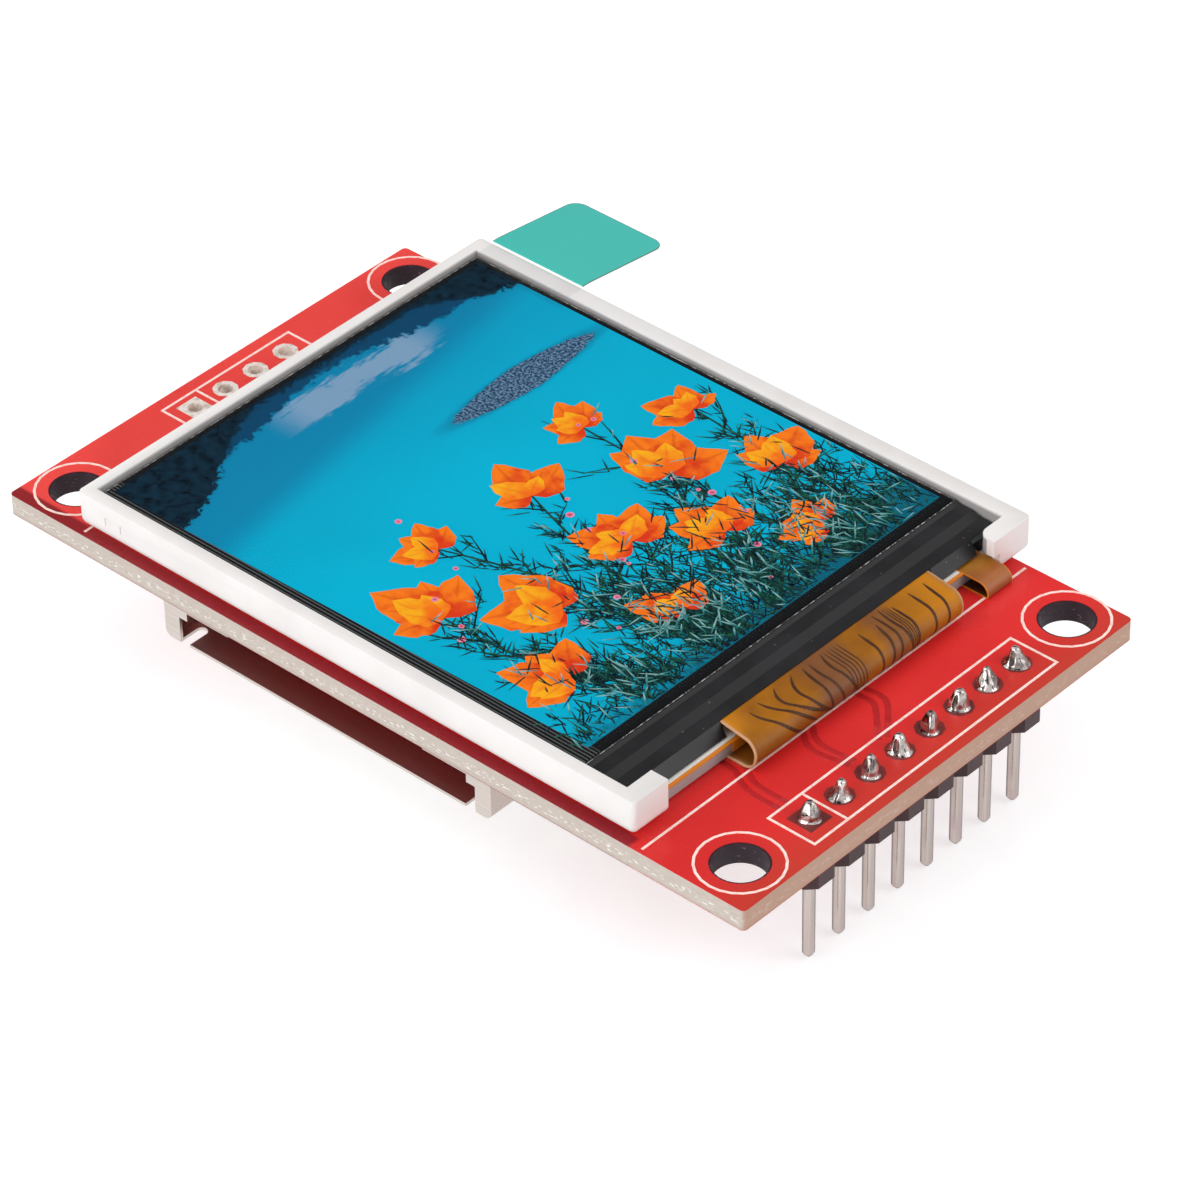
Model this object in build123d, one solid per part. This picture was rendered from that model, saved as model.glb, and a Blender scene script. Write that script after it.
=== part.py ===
from build123d import *
import math
import os

# A 1.8 inch class colour display module on a printed circuit board.
# Millimetres. The origin is the centre of the four mounting holes on the underside of the board.
# +X runs along the board towards the pin header, +Z points out of the display.
# "Near" is the -Y long edge with the card mouth, "far" the +Y long edge with the pull tab.

# Board
board_length = 56.5
board_width = 33.35
board_corner_radius = 0.3
laminate_thickness = 1.34
mask_thickness = 0.03
mount_hole_diameter = 3.2
mount_hole_inset_left = 2.7
mount_hole_inset_right = 2.8
mount_hole_inset_near = 2.92
mount_hole_inset_far = 2.43
mask_relief = 0.12

# Printed marks
print_thickness = 0.02
print_line_width = 0.16
hole_ring_radius = 2.53
hole_ring_sides = 24
header_box_half_width = 1.65
spare_box_half_width = 1.24
row_box_overrun = 1.5
display_line_gap_right = 0.75
display_line_cover_left = 0.53
display_line_inset = 0.3

# Rows of plated holes
row_pitch = 2.54
header_pin_count = 8
header_row_inset = 2.43
header_row_shift = 0.415
spare_hole_count = 4
spare_row_inset = 2.16
spare_row_shift = 0.205
drill_diameter = 1.06
plating_wall = 0.05
header_pad_diameter = 1.8
spare_pad_diameter = 1.6
small_round_sides = 10

# Pin header
pin_side = 0.64
pin_rise = 0.8
pin_drop = 9.85
pin_tip_length = 0.3
housing_height = 2.54
housing_width = 2.5
housing_corner_cut = 0.6
solder_sides = 8
solder_tip_rise = 1.23
solder_neck_rise = 0.1
solder_neck_radius = 0.66
solder_waist_rise = 0.48
solder_waist_radius = 0.54
solder_crown_rise = 0.86
solder_crown_radius = 0.34
solder_tip_radius = 0.1

# Backlight frame
frame_to_spare_row = 3.29
frame_to_header_row = 5.82
frame_near_inset = 0.5
frame_far_overhang = 1.05
frame_height = 2.4
frame_wall_left = 0.7
frame_wall_near = 0.85
frame_wall_far = 1.1
frame_shelf = 0.5
frame_corner_radius = 0.3
frame_lead_in = 0.6
claw_depth = 1.22
claw_near_length = 2.8
claw_far_length = 3.3
claw_nose_radius = 0.7
rail_height = 0.6
rail_depth = 0.7
rail_setback = 0.87
tail_relief_height = 1.25
gate_mark_width = 0.12
gate_mark_height = 0.55
gate_mark_depth = 0.06
gate_mark_spacing = 1.22
gate_mark_inset = 2.14

# Tape between display and board
tape_thickness = 0.2
tape_side_inset = 3.95
tape_left_inset = 0.8
tape_flex_gap = 7.13
tape_strip_gap = 5.7
tape_left_share = 0.59

# Backlight stack, from the bottom up
reflector_thickness = 0.08
light_guide_thickness = 0.65
diffuser_thickness = 0.06
prism_thickness = 0.08
rim_tape_thickness = 0.05
rim_tape_width = 1.0
stack_clearance = 0.1
lamp_length = 3.0
lamp_depth = 1.0
lamp_height = 0.6
lamp_count = 4
lamp_end_inset = 4.35
lamp_gap = 0.15
lamp_bay_depth = 1.75

# Display glass
polariser_thickness = 0.13
glass_thickness = 0.4
glass_clearance = 0.12
array_glass_setback = 1.85
ledge_depth = 2.65
polariser_margin = 0.15
driver_length = 15.0
driver_width = 0.9
driver_height = 0.28
driver_setback = 0.3

# Ledge tape and lamp cover tape
ledge_tape_thickness = 0.05
ledge_tape_lift = 0.02
apron_drop = 0.75
apron_reach = 0.62

# Display flex
flex_thickness = 0.1
flex_near_inset = 9.07
flex_far_inset = 6.98
flex_bond = 1.1
flex_bulge = 1.17
flex_board_clearance = 0.02
flex_return = 6.7
flex_joint_count = 14
flex_joint_edge = 1.125
flex_joint_length = 1.3
flex_joint_width = 0.7

# Backlight flex
lamp_flex_thickness = 0.08
lamp_flex_near_inset = 3.02
lamp_flex_far_inset = 2.88
lobe_near_lap = 0.05
lobe_far_lap = 0.6
tail_width = 2.15
tail_bulge = 1.02
tail_bend_radius = 0.72
tail_fold_radius = 0.1
tail_return = 2.8

# Protective film and pull tab
film_thickness = 0.05
film_margin = 0.2
tab_width = 7.4
tab_left_inset = 0.92
tab_film_overlap = 0.75
tab_reach = 7.6
tab_droop = 0.85
tab_thickness = 0.06
tab_corner_radius = 0.9

# Card socket
socket_shift = -3.15
socket_width = 25.5
socket_rear_gap = 6.08
socket_height = 2.75
socket_front_inset = 0.27
sheet_thickness = 0.2
sheet_bend_radius = 0.5
ear_width = 1.2
ear_step = 0.65
ear_tongue_height = 0.95
lip_length = 3.3
lip_height = 0.38
slot_width = 0.75
slot_depth = 1.3
post_width = 0.8
post_depth = 0.9
spring_width = 2.2
spring_length = 8.5
spring_slot = 0.4
spring_root_share = 0.62
spring_spread_share = 0.243
side_window_length = 1.3
side_window_height = 0.8
side_window_pitch = 2.4
foot_width = 1.6
foot_reach = 1.0
foot_station_shares = (0.3, 0.85)
pad_margin = 0.2
base_side_width = 0.55
base_floor_thickness = 0.45
base_floor_depth = 11.0
base_rear_depth = 1.9
peg_diameter = 1.1
peg_length = 0.9
peg_side_inset = 3.15
contact_count = 9
contact_left_inset = 2.95
contact_right_inset = 2.55
contact_width = 0.8
contact_thickness = 0.15
contact_tail = 1.2
contact_arm_length = 8.6
contact_rise = 1.3
contact_hook = 0.9
contact_window_width = 1.3
switch_width = 0.5
switch_thickness = 0.12
switch_length = 6.0
switch_tail = 1.0
switch_side_inset = 1.2

# Small parts on the underside
sot_length = 2.9
sot_width = 1.3
sot_height = 1.0
sot_lead_width = 0.4
sot_lead_thickness = 0.13
sot_lead_pitch = 0.95
sot_lead_reach = 0.55
sot_pad_length = 0.9
sot_pad_width = 0.6
sot_column_share = 0.254
regulator_y_share = 0.265
transistor_y_share = -0.2745
capacitor_length = 2.0
capacitor_width = 1.25
capacitor_height = 0.85
capacitor_column_share = 0.59
capacitor_y_shares = (0.325, 0.205)
resistor_length = 1.6
resistor_width = 0.8
resistor_height = 0.45
resistor_column_share = 0.54
resistor_first_y_share = -0.2145
resistor_spacing_share = 0.063
resistor_count = 6
cap_share = 0.2
chip_pad_overhang = 0.3
jumper_column_share = 0.841
jumper_pad_length = 0.9
jumper_pad_width = 1.4
jumper_gap = 0.3

# Reach within which an edge counts as lying on a line
edge_pick_reach = 0.01

# Places that follow from the sizes above
mount_hole_span_x = board_length - mount_hole_inset_left - mount_hole_inset_right
mount_hole_span_y = board_width - mount_hole_inset_near - mount_hole_inset_far
board_left = -mount_hole_span_x / 2 - mount_hole_inset_left
board_right = board_left + board_length
board_near = -mount_hole_span_y / 2 - mount_hole_inset_near
board_far = board_near + board_width
board_middle_x = (board_left + board_right) / 2
board_middle_y = (board_near + board_far) / 2
laminate_top = mask_thickness + laminate_thickness
board_top = laminate_top + mask_thickness
header_x = board_right - header_row_inset
spare_x = board_left + spare_row_inset

frame_left = spare_x + frame_to_spare_row
frame_right = header_x - frame_to_header_row
frame_near = board_near + frame_near_inset
frame_far = board_far + frame_far_overhang
frame_centre_y = (frame_near + frame_far) / 2
frame_bottom = board_top + tape_thickness
frame_top = frame_bottom + frame_height
claw_inner = frame_right - claw_depth
window_left = frame_left + frame_wall_left
window_near = frame_near + frame_wall_near
window_far = frame_far - frame_wall_far
pocket_left = window_left + frame_shelf
pocket_near = window_near + frame_shelf
pocket_far = window_far - frame_shelf
rail_outer = frame_right - rail_setback
rail_inner = rail_outer - rail_depth
rail_top = frame_bottom + rail_height

guide_bottom = frame_bottom + reflector_thickness
guide_top = guide_bottom + light_guide_thickness
diffuser_top = guide_top + diffuser_thickness
lower_prism_top = diffuser_top + prism_thickness
shelf_top = lower_prism_top + prism_thickness
guide_right = rail_inner - lamp_bay_depth
lamp_top = guide_bottom + lamp_height
lamp_span = frame_far - frame_near - lamp_end_inset * 2 - lamp_length
lamp_pitch = lamp_span / (lamp_count - 1)

rear_polariser_bottom = shelf_top + rim_tape_thickness
array_bottom = rear_polariser_bottom + polariser_thickness
array_top = array_bottom + glass_thickness
filter_top = array_top + glass_thickness
screen_top = filter_top + polariser_thickness
glass_left = window_left + glass_clearance
glass_near = window_near + glass_clearance
glass_far = window_far - glass_clearance
array_right = frame_right - array_glass_setback
filter_right = array_right - ledge_depth

flex_near_y = frame_near + flex_near_inset
flex_far_y = frame_far - flex_far_inset
flex_joint_pitch = (flex_far_y - flex_near_y - flex_joint_edge * 2) / (flex_joint_count - 1)
flex_top_line = array_top + flex_thickness / 2
flex_low_line = board_top + flex_board_clearance + flex_thickness / 2
flex_bend_radius = (flex_top_line - flex_low_line) / 2
flex_bend_x = frame_right + flex_bulge - flex_thickness / 2 - flex_bend_radius
flex_root_x = array_right - flex_bond
flex_end_x = rail_inner - flex_return + lamp_bay_depth
lamp_flex_near_y = frame_near + lamp_flex_near_inset
lamp_flex_far_y = frame_far - lamp_flex_far_inset
tail_near_y = lamp_flex_far_y - tail_width
tape_right_end = flex_end_x - flex_joint_length / 2 - tape_flex_gap

socket_centre_x = board_middle_x + socket_shift
socket_left = socket_centre_x - socket_width / 2
socket_right = socket_left + socket_width
socket_front = board_near + socket_front_inset
socket_rear = board_far - socket_rear_gap
socket_depth = socket_rear - socket_front
socket_inner_left = socket_left + sheet_thickness
socket_inner_right = socket_right - sheet_thickness
socket_ceiling = -socket_height + sheet_thickness
base_rear_front = socket_rear - base_rear_depth
base_floor_front = socket_rear - base_floor_depth
spring_rear_y = socket_front + socket_depth * spring_root_share
spring_offsets = (-socket_width * spring_spread_share, socket_width * spring_spread_share)
foot_stations = [socket_depth * share for share in foot_station_shares]
peg_offsets = (peg_side_inset - socket_width / 2, socket_width / 2 - peg_side_inset)
switch_offsets = (switch_side_inset - socket_width / 2, socket_width / 2 - switch_side_inset)
contact_span = socket_width - contact_left_inset - contact_right_inset
contact_pitch = contact_span / (contact_count - 1)

parts_left = socket_right + foot_reach
parts_length = header_x - housing_width / 2 - parts_left
sot_column_x = parts_left + parts_length * sot_column_share
regulator_place = (sot_column_x, board_middle_y + board_width * regulator_y_share)
transistor_place = (sot_column_x, board_middle_y + board_width * transistor_y_share)
capacitor_column_x = parts_left + parts_length * capacitor_column_share
capacitor_places = [
    (capacitor_column_x, board_middle_y + board_width * share) for share in capacitor_y_shares
]
resistor_column_x = parts_left + parts_length * resistor_column_share
resistor_column_y = board_middle_y + board_width * resistor_first_y_share
resistor_spacing = board_width * resistor_spacing_share
jumper_place = (parts_left + parts_length * jumper_column_share, regulator_place[1])


def block(x0, x1, y0, y1, z0, z1):
    """A box given by its two limits along each axis."""
    return Pos((x0 + x1) / 2, (y0 + y1) / 2, (z0 + z1) / 2) * Box(x1 - x0, y1 - y0, z1 - z0)


def disc(x, y, radius, z0, z1):
    """An upright cylinder from z0 to z1."""
    return Pos(x, y, (z0 + z1) / 2) * Cylinder(radius, z1 - z0)


def small_round(x, y, radius, z0, z1):
    """A small repeated round, such as a pad or a plated hole, kept light as a prism of a few sides."""
    outline = Pos(x, y, z0) * RegularPolygon(radius, small_round_sides)
    return extrude(outline, z1 - z0)


def strip_along_x(path, thickness, y0, y1):
    """A bent sheet: a path in the XZ plane carried from y0 to y1, with the sheet's thickness about it."""
    start = Plane(origin=path @ 0, x_dir=(0, 1, 0), z_dir=path % 0)
    sheet = sweep(start * Rectangle(y1 - y0, thickness), path=path)
    return Pos(0, (y0 + y1) / 2, 0) * sheet


def strip_along_y(path, thickness, x0, x1):
    """A bent sheet: a path in the YZ plane carried from x0 to x1, with the sheet's thickness about it."""
    start = Plane(origin=path @ 0, x_dir=(1, 0, 0), z_dir=path % 0)
    sheet = sweep(start * Rectangle(x1 - x0, thickness), path=path)
    return Pos((x0 + x1) / 2, 0, 0) * sheet


def row_places(centre_y, count, pitch):
    """Positions of a row of count features with equal pitch, centred on centre_y."""
    first = centre_y - pitch * (count - 1) / 2
    return [first + pitch * i for i in range(count)]


def solids_of(shape):
    """The separate solids of a shape, as a flat list."""
    return list(shape.solids())


def save(name, *shapes):
    """Write one node: a single solid, or a group of separate solids."""
    solids = [solid for shape in shapes for solid in solids_of(shape)]
    node = solids[0] if len(solids) == 1 else Compound(children=solids)
    node.label = name
    export_step(node, os.path.join("parts", name + ".step"))


header_ys = row_places(board_middle_y + header_row_shift, header_pin_count, row_pitch)
spare_ys = row_places(board_middle_y + spare_row_shift, spare_hole_count, row_pitch)
mount_places = [
    (sx * mount_hole_span_x / 2, sy * mount_hole_span_y / 2) for sx in (-1, 1) for sy in (-1, 1)
]
peg_places = [(socket_centre_x + dx, base_floor_front + peg_diameter) for dx in peg_offsets]
contact_xs = [
    socket_left + contact_left_inset + contact_pitch * i for i in range(contact_count)
]


def board_slab(z0, z1):
    """The board outline with rounded corners between two heights."""
    slab = block(board_left, board_right, board_near, board_far, z0, z1)
    return fillet(slab.edges().filter_by(Axis.Z), board_corner_radius)


def mount_holes(radius, z0, z1):
    """Cutters for the four mounting holes."""
    return [disc(x, y, radius, z0, z1) for x, y in mount_places]


def plated_places():
    """The plated holes of both rows: place, pad size and whether the pad is square, as the first is."""
    header = [(header_x, y, header_pad_diameter, i == 0) for i, y in enumerate(header_ys)]
    spare = [(spare_x, y, spare_pad_diameter, i == 0) for i, y in enumerate(spare_ys)]
    return header, spare


def pad_land(x, y, diameter, square, z0, z1):
    """A pad's land, square or round."""
    half = diameter / 2
    if square:
        return block(x - half, x + half, y - half, y + half, z0, z1)
    return small_round(x, y, half, z0, z1)


def surface_pads():
    """Rectangles of the pads on the underside, as centre and size, by group."""
    socket = []
    for x in contact_xs:
        pad_centre = socket_rear + (contact_tail + pad_margin) / 2
        socket.append((x, pad_centre, contact_width, contact_tail + pad_margin))
    for dx in switch_offsets:
        pad_centre = socket_rear + (switch_tail + pad_margin) / 2
        socket.append((socket_centre_x + dx, pad_centre, switch_width, switch_tail + pad_margin))
    for station in foot_stations:
        for edge, side in ((socket_left, -1), (socket_right, 1)):
            centre_x = edge + side * foot_reach / 2
            socket.append((centre_x, socket_front + station, foot_reach, foot_width + pad_margin))
    parts = []
    for place in (regulator_place, transistor_place):
        for x, y in sot_pad_places(place):
            parts.append((x, y, sot_pad_length, sot_pad_width))
    for x, y in capacitor_places:
        parts += chip_pad_rects(x, y, capacitor_length, capacitor_width)
    for x, y in resistor_places():
        parts += chip_pad_rects(x, y, resistor_length, resistor_width)
    jumper = []
    for side in (-1, 1):
        pad_x = jumper_place[0] + side * (jumper_pad_length + jumper_gap) / 2
        jumper.append((pad_x, jumper_place[1], jumper_pad_length, jumper_pad_width))
    return socket, parts, jumper


def sot_pad_places(place):
    """Pads of a three-lead package: two leads on the left, one on the right."""
    reach = sot_width / 2 + sot_lead_reach
    left = [(place[0] - reach, place[1] + s * sot_lead_pitch) for s in (-1, 1)]
    return left + [(place[0] + reach, place[1])]


def chip_pad_rects(x, y, length, width):
    """The two pads of a chip part that lies along X."""
    pad_length = length * cap_share + chip_pad_overhang
    shift = length / 2 + chip_pad_overhang - pad_length / 2
    return [(x + s * shift, y, pad_length, width) for s in (-1, 1)]


def resistor_places():
    """The column of chip resistors."""
    return [(resistor_column_x, resistor_column_y + resistor_spacing * i) for i in range(resistor_count)]


def rect_prism(rect, z0, z1):
    """A pad rectangle as a plate between two heights."""
    x, y, length, width = rect
    return block(x - length / 2, x + length / 2, y - width / 2, y + width / 2, z0, z1)


def make_board():
    """Laminate core, the two solder masks and the plated holes."""
    header, spare = plated_places()
    core = board_slab(mask_thickness, laminate_top)
    core -= mount_holes(mount_hole_diameter / 2, 0, board_top)
    core -= [small_round(x, y, drill_diameter / 2, 0, board_top) for x, y, _, _ in header + spare]
    core -= [small_round(x, y, peg_diameter / 2, 0, board_top) for x, y in peg_places]
    save("board_laminate", core)

    relief = mount_hole_diameter / 2 + mask_relief
    lands = [pad_land(*place, 0, board_top) for place in header + spare]
    openings = mount_holes(relief, 0, board_top) + lands
    save("solder_mask_front", board_slab(laminate_top, board_top) - openings)
    socket, parts, jumper = surface_pads()
    flats = [rect_prism(rect, 0, mask_thickness) for rect in socket + parts + jumper]
    pegs = [small_round(x, y, peg_diameter / 2, 0, mask_thickness) for x, y in peg_places]
    save("solder_mask_back", board_slab(0, mask_thickness) - openings - flats - pegs)

    for name, places in (("header_hole_platings", header), ("spare_hole_platings", spare)):
        eyelets = []
        for x, y, diameter, square in places:
            eyelet = pad_land(x, y, diameter, square, 0, mask_thickness)
            eyelet += pad_land(x, y, diameter, square, laminate_top, board_top)
            eyelet += small_round(x, y, drill_diameter / 2, 0, board_top)
            eyelet -= small_round(x, y, drill_diameter / 2 - plating_wall, 0, board_top)
            eyelets.append(eyelet)
        save(name, *eyelets)
    save("card_socket_pads", *[rect_prism(rect, 0, mask_thickness) for rect in socket])
    save("component_pads", *[rect_prism(rect, 0, mask_thickness) for rect in parts])
    save("jumper_pads", *[rect_prism(rect, 0, mask_thickness) for rect in jumper])


def box_outline(x0, x1, y0, y1, z0, z1):
    """A printed rectangle of the line width, its limits on the line's centre."""
    half = print_line_width / 2
    outer = block(x0 - half, x1 + half, y0 - half, y1 + half, z0, z1)
    return outer - block(x0 + half, x1 - half, y0 + half, y1 - half, z0, z1)


def row_marks(x, ys, half_width, z0, z1):
    """The printed box round a row of holes, with the divider beside the first."""
    x0 = x - half_width
    x1 = x + half_width
    mark = box_outline(x0, x1, ys[0] - row_box_overrun, ys[-1] + row_box_overrun, z0, z1)
    divider_y = (ys[0] + ys[1]) / 2
    half = print_line_width / 2
    return mark + block(x0, x1, divider_y - half, divider_y + half, z0, z1)


def make_printed_marks():
    """White printed marks on both faces: rings, row boxes and the display's outline. No words."""
    top = board_top + print_thickness
    half_line = print_line_width / 2
    rings = []
    for x, y in mount_places:
        outline = RegularPolygon(hole_ring_radius + half_line, hole_ring_sides)
        outline -= RegularPolygon(hole_ring_radius - half_line, hole_ring_sides)
        rings.append(Pos(x, y, board_top) * extrude(outline, print_thickness))
    lines = []
    for x in (frame_right + display_line_gap_right, frame_left + display_line_cover_left):
        y0 = board_near + display_line_inset
        y1 = board_far - display_line_inset
        lines.append(block(x - half_line, x + half_line, y0, y1, board_top, top))
    boxes = [
        row_marks(header_x, header_ys, header_box_half_width, board_top, top),
        row_marks(spare_x, spare_ys, spare_box_half_width, board_top, top),
    ]
    save("printed_marks_front", *rings, *lines, *boxes)

    back = [row_marks(spare_x, spare_ys, spare_box_half_width, -print_thickness, 0)]
    for place in (regulator_place, transistor_place):
        half_x = sot_width / 2 + sot_lead_reach + sot_pad_length
        half_y = sot_length / 2 + print_line_width * 2
        x, y = place
        back.append(box_outline(x - half_x, x + half_x, y - half_y, y + half_y, -print_thickness, 0))
    save("printed_marks_back", *back)


def pin_shaft(y, z0, z1):
    """The square space that a header pin fills between two heights."""
    half = pin_side / 2
    return block(header_x - half, header_x + half, y - half, y + half, z0, z1)


def make_header():
    """Pin header: housing of linked octagonal cells, square pins and solder joints."""
    half = housing_width / 2
    cell_half = row_pitch / 2
    cut = housing_corner_cut
    cells = []
    for y in header_ys:
        outline = Polyline(
            (header_x - half, y - cell_half + cut),
            (header_x - half + cut, y - cell_half),
            (header_x + half - cut, y - cell_half),
            (header_x + half, y - cell_half + cut),
            (header_x + half, y + cell_half - cut),
            (header_x + half - cut, y + cell_half),
            (header_x - half + cut, y + cell_half),
            (header_x - half, y + cell_half - cut),
            close=True,
        )
        cells.append(Pos(0, 0, -housing_height) * extrude(make_face(outline), housing_height))
    housing = cells[0]
    for cell in cells[1:]:
        housing += cell
    housing -= [pin_shaft(y, -housing_height, 0) for y in header_ys]
    save("header_housing", housing)

    pins = []
    joints = []
    top = board_top + pin_rise
    bottom = board_top - pin_drop
    for y in header_ys:
        pin = pin_shaft(y, bottom, top)
        low_edges = pin.edges().group_by(Axis.Z)[0]
        pin = chamfer(low_edges, length=pin_tip_length, length2=pin_tip_length / 2)
        top_edges = pin.edges().group_by(Axis.Z)[-1]
        pin = chamfer(top_edges, length=pin_tip_length, length2=pin_tip_length / 2)
        pins.append(pin)
        joints.append(solder_joint(header_x, y) - pin)
    save("header_pins", *pins)
    save("header_solder_joints", *joints)


def solder_joint(x, y):
    """A solder cone that wets the pad, climbs the pin and closes over its tip."""
    foot = header_pad_diameter / 2 - plating_wall
    profile = [
        (foot, 0.0),
        (solder_neck_radius, solder_neck_rise),
        (solder_waist_radius, solder_waist_rise),
        (solder_crown_radius, solder_crown_rise),
        (solder_tip_radius, solder_tip_rise),
    ]
    rounds = []
    for radius, rise in profile:
        rounds.append(Pos(x, y, board_top + rise) * RegularPolygon(radius, solder_sides))
    return loft(rounds, ruled=True)


def make_frame():
    """White backlight frame: side walls with an inner shelf, two claws and the low rail at the open end."""
    body = block(frame_left, frame_right, frame_near, frame_far, frame_bottom, frame_top)
    body = fillet(body.edges().filter_by(Axis.Z), frame_corner_radius)
    left_foot = body.faces().sort_by(Axis.Z)[0].edges().filter_by(Axis.Y).sort_by(Axis.X)[0]
    body = fillet(left_foot, frame_lead_in)
    body -= block(window_left, claw_inner, window_near, window_far, shelf_top, frame_top)
    body -= block(pocket_left, rail_inner, pocket_near, pocket_far, frame_bottom, shelf_top)
    gap_near = frame_near + claw_near_length
    gap_far = frame_far - claw_far_length
    body -= block(rail_outer, frame_right, gap_near, gap_far, frame_bottom, frame_top)
    body -= block(rail_inner, frame_right, gap_near, gap_far, rail_top, frame_top)
    body -= block(rail_inner, claw_inner, pocket_near, pocket_far, rail_top, shelf_top)
    relief_far = tail_near_y + tail_width + glass_clearance
    relief_top = frame_bottom + tail_relief_height
    body -= block(rail_inner, frame_right, gap_far, relief_far, rail_top, relief_top)
    body -= block(rail_outer, frame_right, gap_far, relief_far, frame_bottom, rail_top)
    nose = body.edges().filter_by(Axis.Z)
    nose = nose.filter_by_position(Axis.X, claw_inner - edge_pick_reach, claw_inner + edge_pick_reach)
    nose = nose.filter_by_position(Axis.Y, gap_far - edge_pick_reach, gap_far + edge_pick_reach)
    body = fillet(nose, claw_nose_radius)
    mark_z = frame_top - frame_height / 2
    for i in range(2):
        x = frame_left + gate_mark_inset + gate_mark_spacing * i
        body -= block(
            x,
            x + gate_mark_width,
            frame_near,
            frame_near + gate_mark_depth,
            mark_z - gate_mark_height / 2,
            mark_z + gate_mark_height / 2,
        )
    save("backlight_frame", body)


def make_mounting_tape():
    """Two strips of double-sided tape that hold the display on the board."""
    strips = []
    y0 = frame_near + tape_side_inset
    y1 = frame_far - tape_side_inset
    left_start = frame_left + tape_left_inset
    taped_length = tape_right_end - left_start - tape_strip_gap
    left_end = left_start + taped_length * tape_left_share
    for x0, x1 in ((left_start, left_end), (left_end + tape_strip_gap, tape_right_end)):
        strips.append(block(x0, x1, y0, y1, board_top, frame_bottom))
    save("display_mounting_tape", *strips)


def make_backlight():
    """Reflector, light guide, diffuser, two prism sheets, rim tape and lamps, all inside the frame."""
    x0 = pocket_left + stack_clearance
    y0 = pocket_near + stack_clearance
    y1 = pocket_far - stack_clearance
    save("reflector_sheet", block(x0, rail_inner - stack_clearance, y0, y1, frame_bottom, guide_bottom))
    save("light_guide", block(x0, guide_right, y0, y1, guide_bottom, guide_top))
    save("diffuser_sheet", block(x0, guide_right, y0, y1, guide_top, diffuser_top))
    save("lower_prism_sheet", block(x0, guide_right, y0, y1, diffuser_top, lower_prism_top))
    save("upper_prism_sheet", block(x0, guide_right, y0, y1, lower_prism_top, shelf_top))
    ring = block(glass_left, guide_right, glass_near, glass_far, shelf_top, rear_polariser_bottom)
    ring -= block(
        x0 + rim_tape_width,
        guide_right - rim_tape_width,
        y0 + rim_tape_width,
        y1 - rim_tape_width,
        shelf_top,
        rear_polariser_bottom,
    )
    save("rim_tape", ring)
    lamps = []
    lamp_x = guide_right + lamp_gap
    for y in row_places(frame_centre_y, lamp_count, lamp_pitch):
        half = lamp_length / 2
        lamp = block(lamp_x, lamp_x + lamp_depth, y - half, y + half, guide_bottom, lamp_top)
        back_edges = lamp.faces().sort_by(Axis.X)[-1].edges().filter_by(Axis.Y)
        lamps.append(chamfer(back_edges, lamp_gap))
    save("backlight_lamps", *lamps)


def make_glass():
    """The liquid-crystal cell: two polarisers, two glasses and the driver chip on the ledge."""
    x0 = glass_left
    y0 = glass_near
    y1 = glass_far
    save("array_glass", block(x0, array_right, y0, y1, array_bottom, array_top))
    save("colour_filter_glass", block(x0, filter_right, y0, y1, array_top, filter_top))
    x0 += polariser_margin
    y0 += polariser_margin
    y1 -= polariser_margin
    save("rear_polariser", block(x0, guide_right, y0, y1, rear_polariser_bottom, array_bottom))
    save("front_polariser", block(x0, filter_right - polariser_margin, y0, y1, filter_top, screen_top))
    chip_x = filter_right + driver_setback
    y0 = frame_centre_y - driver_length / 2
    y1 = frame_centre_y + driver_length / 2
    save("driver_chip", block(chip_x, chip_x + driver_width, y0, y1, array_top, array_top + driver_height))


def make_ledge_tape():
    """Black tape over the glass ledge, driver and flex root, with an apron down each side of the flex."""
    half = ledge_tape_thickness / 2
    start_z = filter_top + half
    chip_z = array_top + driver_height + half
    low_z = array_top + flex_thickness + half
    chip_x = filter_right + driver_setback
    tape_near = glass_near
    tape_far = glass_far
    path = Polyline(
        (filter_right - polariser_margin, 0, start_z),
        (filter_right + ledge_tape_thickness, 0, start_z),
        (chip_x, 0, chip_z + ledge_tape_lift),
        (chip_x + driver_width, 0, chip_z + ledge_tape_lift),
        (flex_root_x + driver_setback, 0, low_z + ledge_tape_lift),
        (array_right + ledge_tape_thickness, 0, low_z),
    )
    cover = strip_along_x(path, ledge_tape_thickness, tape_near, tape_far)
    apron_path = Polyline(
        (array_right, 0, low_z),
        (array_right + ledge_tape_thickness * 2, 0, low_z),
        (array_right + apron_reach, 0, low_z - apron_drop),
    )
    gap_near = frame_near + claw_near_length
    gap_far = frame_far - claw_far_length
    side_gap = ledge_tape_thickness * 2
    cover += strip_along_x(apron_path, ledge_tape_thickness, gap_near, flex_near_y - side_gap)
    cover += strip_along_x(apron_path, ledge_tape_thickness, flex_far_y + side_gap, gap_far)
    save("ledge_tape", cover)


def flex_path(offset):
    """The display flex's line: off the glass, round the half circle and back along the board."""
    radius = flex_bend_radius + offset
    middle = (flex_top_line + flex_low_line) / 2
    top = middle + radius
    low = middle - radius
    out = Line((flex_root_x, 0, top), (flex_bend_x, 0, top))
    turn = ThreePointArc((flex_bend_x, 0, top), (flex_bend_x + radius, 0, middle), (flex_bend_x, 0, low))
    back = Line((flex_bend_x, 0, low), (flex_end_x, 0, low))
    return Wire([out.edge(), turn.edge(), back.edge()])


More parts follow.
